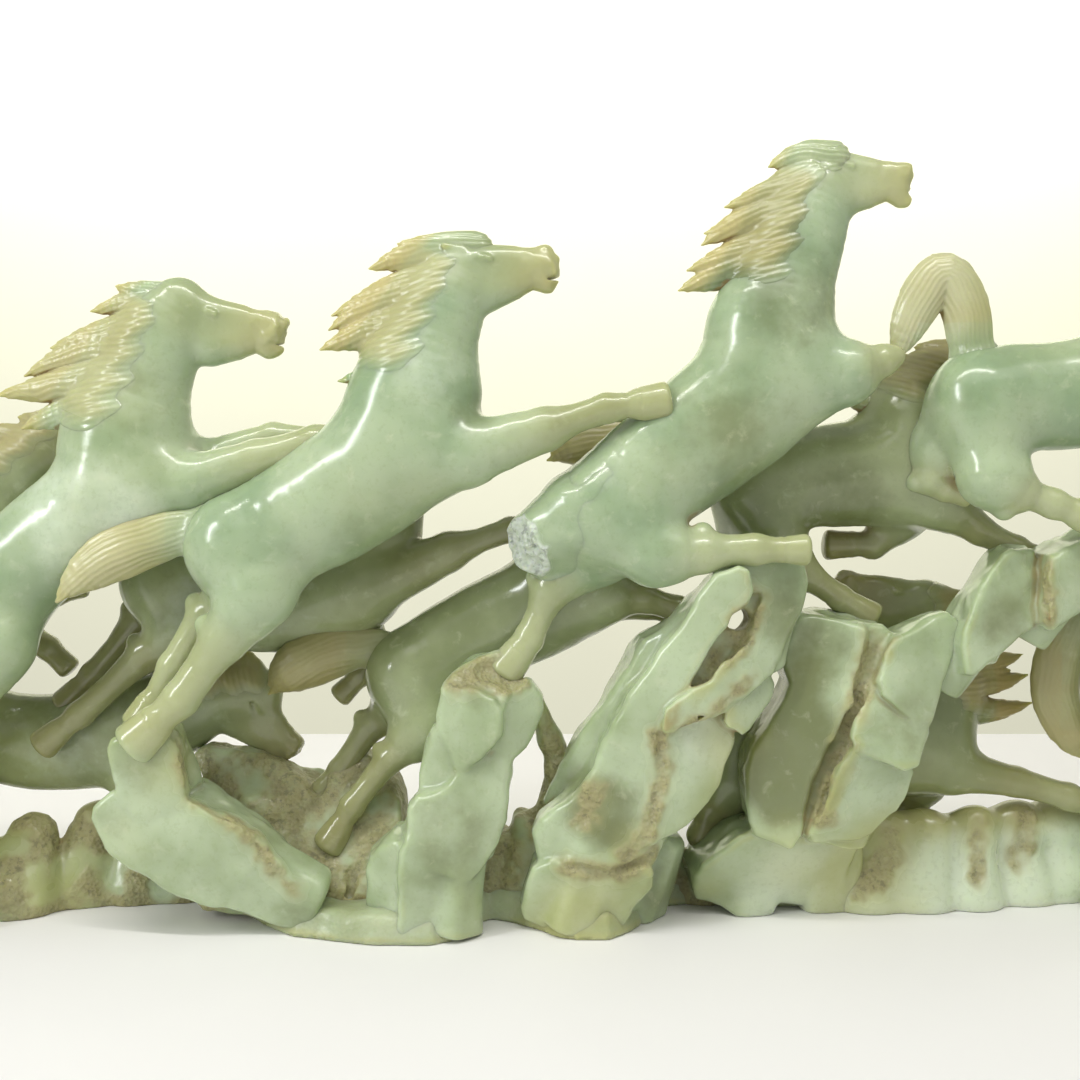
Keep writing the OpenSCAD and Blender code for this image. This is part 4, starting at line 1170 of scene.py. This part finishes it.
# --------------------------------------------------------------- materials
class Nodes:
    """Shorthand for building a node material."""

    def __init__(self, name):
        self.material = bpy.data.materials.new(name)
        self.material.use_nodes = True
        self.tree = self.material.node_tree
        self.shader = self.tree.nodes["Principled BSDF"]

    def new(self, kind, **values):
        node = self.tree.nodes.new(kind)
        for key, value in values.items():
            setattr(node, key, value)
        return node

    def link(self, a, b):
        self.tree.links.new(a, b)

    def put(self, socket, value):
        if isinstance(value, bpy.types.NodeSocket):
            self.link(value, socket)
        else:
            socket.default_value = value

    def attribute(self, name):
        return self.new("ShaderNodeAttribute", attribute_name=name).outputs["Fac"]

    def position(self):
        return self.new("ShaderNodeNewGeometry").outputs["Position"]

    def noise(self, scale, detail=4.0, rough=0.55, distort=0.0, stretch=None):
        node = self.new("ShaderNodeTexNoise")
        node.inputs["Scale"].default_value = scale
        node.inputs["Detail"].default_value = detail
        node.inputs["Roughness"].default_value = rough
        node.inputs["Distortion"].default_value = distort
        where = self.position()
        if stretch:
            mapping = self.new("ShaderNodeMapping")
            mapping.inputs["Scale"].default_value = stretch
            self.link(where, mapping.inputs["Vector"])
            where = mapping.outputs["Vector"]
        self.link(where, node.inputs["Vector"])
        return node.outputs["Fac"]

    def math(self, operation, a, b=0.0, clamp=False):
        node = self.new("ShaderNodeMath", operation=operation, use_clamp=clamp)
        self.put(node.inputs[0], a)
        self.put(node.inputs[1], b)
        return node.outputs[0]

    def span(self, value, low, high, to_low=0.0, to_high=1.0):
        node = self.new("ShaderNodeMapRange", interpolation_type="SMOOTHSTEP")
        self.put(node.inputs["Value"], value)
        for key, v in (("From Min", low), ("From Max", high),
                       ("To Min", to_low), ("To Max", to_high)):
            node.inputs[key].default_value = v
        return node.outputs["Result"]

    def mix(self, factor, a, b, blend="MIX"):
        node = self.new("ShaderNodeMix", data_type="RGBA", blend_type=blend)
        self.put(node.inputs["Factor"], factor)
        for key, v in (("A", a), ("B", b)):
            socket = [s for s in node.inputs if s.name == key and s.type == "RGBA"][0]
            self.put(socket, v)
        return [s for s in node.outputs if s.type == "RGBA"][0]

    def bump(self, height, distance, strength=1.0, normal=None):
        node = self.new("ShaderNodeBump")
        node.inputs["Strength"].default_value = strength
        node.inputs["Distance"].default_value = distance
        self.link(height, node.inputs["Height"])
        if normal is not None:
            self.link(normal, node.inputs["Normal"])
        return node.outputs["Normal"]


def rgb(r, g, b):
    """A colour from its screen values, 0 to 255, as the linear values that a shader takes."""
    def linear(c):
        c /= 255
        return c / 12.92 if c <= 0.04045 else ((c + 0.055) / 1.055) ** 2.4
    return (linear(r), linear(g), linear(b), 1.0)


def jade(name, pale, deep, tan, dust, roughness, glow, olive=0.15):
    """Translucent jade: cloudy green, olive or paler at its stains (some of them painted shade and
    painted highlights), browner where the skin was left, dusty in its recesses, painted yellow where
    it is thin as a glow of light shining through, and matt and pitted where the chisel was not
    polished out."""
    m = Nodes(name)
    s = m.shader
    cloud = m.noise(28, 3)
    fleck = m.noise(160, 5, 0.6, 0.4)
    pits = m.new("ShaderNodeTexVoronoi", feature="F1")
    pits.inputs["Scale"].default_value = 620
    m.link(m.position(), pits.inputs["Vector"])
    raw = m.attribute("rough")
    base = m.mix(m.span(cloud, 0.35, 0.68), pale, deep)
    # Stains turn olive above nothing and pale below it; some of them are painted shade and painted
    # highlights, not the stone's colour.
    stain_and_light = m.attribute("stain_and_painted_light")
    wavy = m.math("ADD", stain_and_light, m.span(m.noise(60, 4, 0.6), 0.3, 0.7, -0.16, 0.16))
    base = m.mix(m.span(wavy, 0.05, 1.0, 0, 0.85), base, rgb(92, 100, 50))
    base = m.mix(m.span(wavy, -1.0, -0.05, 0.8, 0), base, rgb(214, 226, 204))
    base = m.mix(m.span(fleck, 0.55, 0.75, 0, 0.26), base, rgb(206, 212, 182))
    base = m.mix(m.span(m.noise(420, 4, 0.7), 0.5, 0.68, 0, 0.16), base, rgb(120, 134, 92))
    base = m.mix(m.span(m.noise(13, 2, 0.5), 0.5, 0.7, 0, olive), base, THIN_GLOW_AND_OLIVE)
    # Painted glow: thin stone is tinted yellow, as if lit through from behind.
    base = m.mix(m.span(m.attribute("thin"), 0.45, 1.0, 0, 0.5), base, THIN_GLOW_AND_OLIVE)
    skin = m.math("MULTIPLY", m.attribute("tan"), m.span(cloud, 0.2, 0.7, 0.75, 1.1), True)
    base = m.mix(skin, base, tan)
    grime = m.math("MULTIPLY", m.span(m.attribute("recess"), 0.3, 0.8),
                   m.span(fleck, 0.3, 0.6, 0.5, 1.0), True)
    grit = m.math("MULTIPLY", m.span(raw, 0.35, 0.95), m.span(fleck, 0.25, 0.6, 0.45, 0.9), True)
    specks = m.math("MAXIMUM", m.span(m.noise(330, 4, 0.7), 0.52, 0.62, 0, 0.7),
                    m.span(m.noise(60, 5, 0.65), 0.5, 0.68, 0, 0.5))
    dark = m.math("MULTIPLY", m.span(raw, 0.5, 1.0), specks, True)
    soil = m.mix(dark, dust, tuple(c * 0.42 for c in dust[:3]) + (1,))
    base = m.mix(m.math("MAXIMUM", grime, grit), base, soil)
    rust = m.math("MULTIPLY", m.span(m.noise(46, 4, 0.6, 0.8), 0.6, 0.72),
                  m.span(grime, 0.2, 0.7, 0, 0.6))
    base = m.mix(rust, base, RUST)
    m.link(base, s.inputs["Base Color"])
    rough = m.math("ADD", m.math("MULTIPLY", raw, 0.42), roughness)
    rough = m.math("ADD", rough, m.math("MULTIPLY", grime, 0.35), True)
    m.link(rough, s.inputs["Roughness"])
    s.inputs["Subsurface Weight"].default_value = 0.5
    s.inputs["Subsurface Radius"].default_value = (0.8, 1.0, 0.45)
    s.inputs["Subsurface Scale"].default_value = glow
    s.inputs["IOR"].default_value = 1.56
    s.inputs["Coat Weight"].default_value = 0.12
    s.inputs["Coat Roughness"].default_value = 0.1
    deep_pits = m.math("MULTIPLY", pits.outputs["Distance"], m.span(raw, 0.4, 1.0))
    m.link(m.bump(fleck, 0.0002, 0.4, m.bump(deep_pits, 0.0007, 0.8)), s.inputs["Normal"])
    return m.material


def stage_material(name, colour, roughness):
    m = Nodes(name)
    grain = m.noise(9, 3)
    dim = tuple(c * 0.97 for c in colour[:3]) + (1,)
    m.link(m.mix(m.span(grain, 0.4, 0.6, 0, 0.25), colour, dim), m.shader.inputs["Base Color"])
    m.shader.inputs["Roughness"].default_value = roughness
    return m.material


# Yellow olive, for the stone's olive patches and for the painted glow of light through thin stone.
THIN_GLOW_AND_OLIVE = rgb(172, 172, 98)
RUST = rgb(150, 108, 66)
HAIR_TAN = rgb(181, 172, 117)
PALE_JADE, GREEN_JADE = rgb(170, 186, 152), rgb(138, 160, 124)
# Darker copies of the jade for the back row: painted shade for the shadow that it stands in.
SHADED_PALE_JADE, SHADED_GREEN_JADE = rgb(156, 166, 126), rgb(130, 140, 98)
DUST = rgb(166, 158, 118)
FRONT = jade("polished_jade", PALE_JADE, GREEN_JADE, rgb(182, 174, 118), DUST, 0.2, 0.007)
FRONT_HAIR = jade("tan_jade", PALE_JADE, GREEN_JADE, HAIR_TAN, rgb(142, 122, 76), 0.18, 0.006)
SHADED_BACK = jade("shaded_back_jade", SHADED_PALE_JADE, SHADED_GREEN_JADE, rgb(154, 144, 94), rgb(146, 136, 96), 0.18, 0.006)
SHADED_BACK_HAIR = jade("shaded_back_hair_jade", SHADED_PALE_JADE, SHADED_GREEN_JADE, rgb(168, 154, 102), rgb(130, 112, 70),
                 0.26, 0.005)
ROCK = jade("rock_jade", rgb(182, 198, 166), rgb(148, 166, 128), rgb(170, 166, 118),
            rgb(156, 150, 106), 0.22, 0.007, olive=0.6)
BROKEN = jade("broken_jade", PALE_JADE, GREEN_JADE, HAIR_TAN, rgb(208, 216, 206), 0.2, 0.007)
STUMP = 7

# The back-row horses take the darker, painted-shade copies of the jade.
for i in HORSES:
    horse_body(i, SHADED_BACK if i in BACK_ROW else FRONT)
    hair = SHADED_BACK_HAIR if i in BACK_ROW else FRONT_HAIR
    horse_mane(i, hair)
    if i == STUMP:
        broken_tail(i, BROKEN)
    else:
        horse_tail(i, hair)
for name in CORES:
    crag(name, ROCK)
slab(ROCK)


# ------------------------------------------------- camera, floor and lights
def point_at(obj, target):
    direction = Vector(target) - obj.location
    obj.rotation_euler = direction.to_track_quat("-Z", "Y").to_euler()


# The camera's place, what it looks at and how wide it sees are guesses from the photograph
CAMERA_AT, CAMERA_AIM = (0.0, -0.486, 0.1572), (0, -0.03, 0.1422)
LENS_ANGLE = math.radians(45)

camera = bpy.data.objects.new("camera", bpy.data.cameras.new("camera"))
bpy.context.scene.collection.objects.link(camera)
camera.location = CAMERA_AT
camera.data.angle = LENS_ANGLE
camera.data.clip_start = 0.01
point_at(camera, CAMERA_AIM)
bpy.context.scene.camera = camera

# Half the width of the table and the wall, and where they begin and end
STAGE_X = 2.4
TABLE_FRONT, TABLE_BACK = -1.2, 0.375
WALL_Y, WALL_FOOT, WALL_TOP = 1.5, -0.8, 2.2


def stage_sheet(name, corners, colour, roughness):
    """A flat sheet of the stage, from its four corners."""
    mesh = bpy.data.meshes.new(name)
    mesh.from_pydata(corners, [], [(0, 1, 2, 3)])
    mesh.materials.append(stage_material(name, colour, roughness))
    sheet = bpy.data.objects.new(name, mesh)
    bpy.context.scene.collection.objects.link(sheet)
    return sheet


stage_sheet("table_top",
            [(-STAGE_X, TABLE_FRONT, 0), (STAGE_X, TABLE_FRONT, 0),
             (STAGE_X, TABLE_BACK, 0), (-STAGE_X, TABLE_BACK, 0)], rgb(238, 237, 237), 0.6)
stage_sheet("far_wall",
            [(-STAGE_X, WALL_Y, WALL_FOOT), (STAGE_X, WALL_Y, WALL_FOOT),
             (STAGE_X, WALL_Y, WALL_TOP), (-STAGE_X, WALL_Y, WALL_TOP)], rgb(232, 232, 212), 0.8)


def area_light(name, where, target, size, power, colour):
    data = bpy.data.lights.new(name, "AREA")
    data.shape = "RECTANGLE"
    data.size, data.size_y = size
    data.energy = power
    data.color = colour
    lamp = bpy.data.objects.new(name, data)
    lamp.location = where
    bpy.context.scene.collection.objects.link(lamp)
    point_at(lamp, target)
    return lamp


area_light("tube", (-0.1, -0.5, 1.1), (0, 0, 0.15), (1.2, 0.06), 6.5, (1, 0.98, 0.94))
area_light("window", (-1.2, -0.9, 0.8), (0, 0, 0.15), (0.16, 0.8), 9, (0.97, 0.99, 1))
area_light("ceiling", (0.1, -0.9, 1.2), (0, -0.35, 0), (1.6, 0.6), 4, (1, 0.99, 0.95))
wash = area_light("wall_wash", (0, 0.95, 1.6), (0, WALL_Y, 0.85), (2.6, 0.2), 15, (1, 0.98, 0.92))
wash.data.spread = math.radians(80)

world = bpy.data.worlds.new("room")
world.use_nodes = True
world.node_tree.nodes["Background"].inputs["Color"].default_value = (1.0, 0.99, 0.95, 1)
world.node_tree.nodes["Background"].inputs["Strength"].default_value = 0.5
bpy.context.scene.world = world
bpy.context.scene.view_settings.view_transform = "Standard"
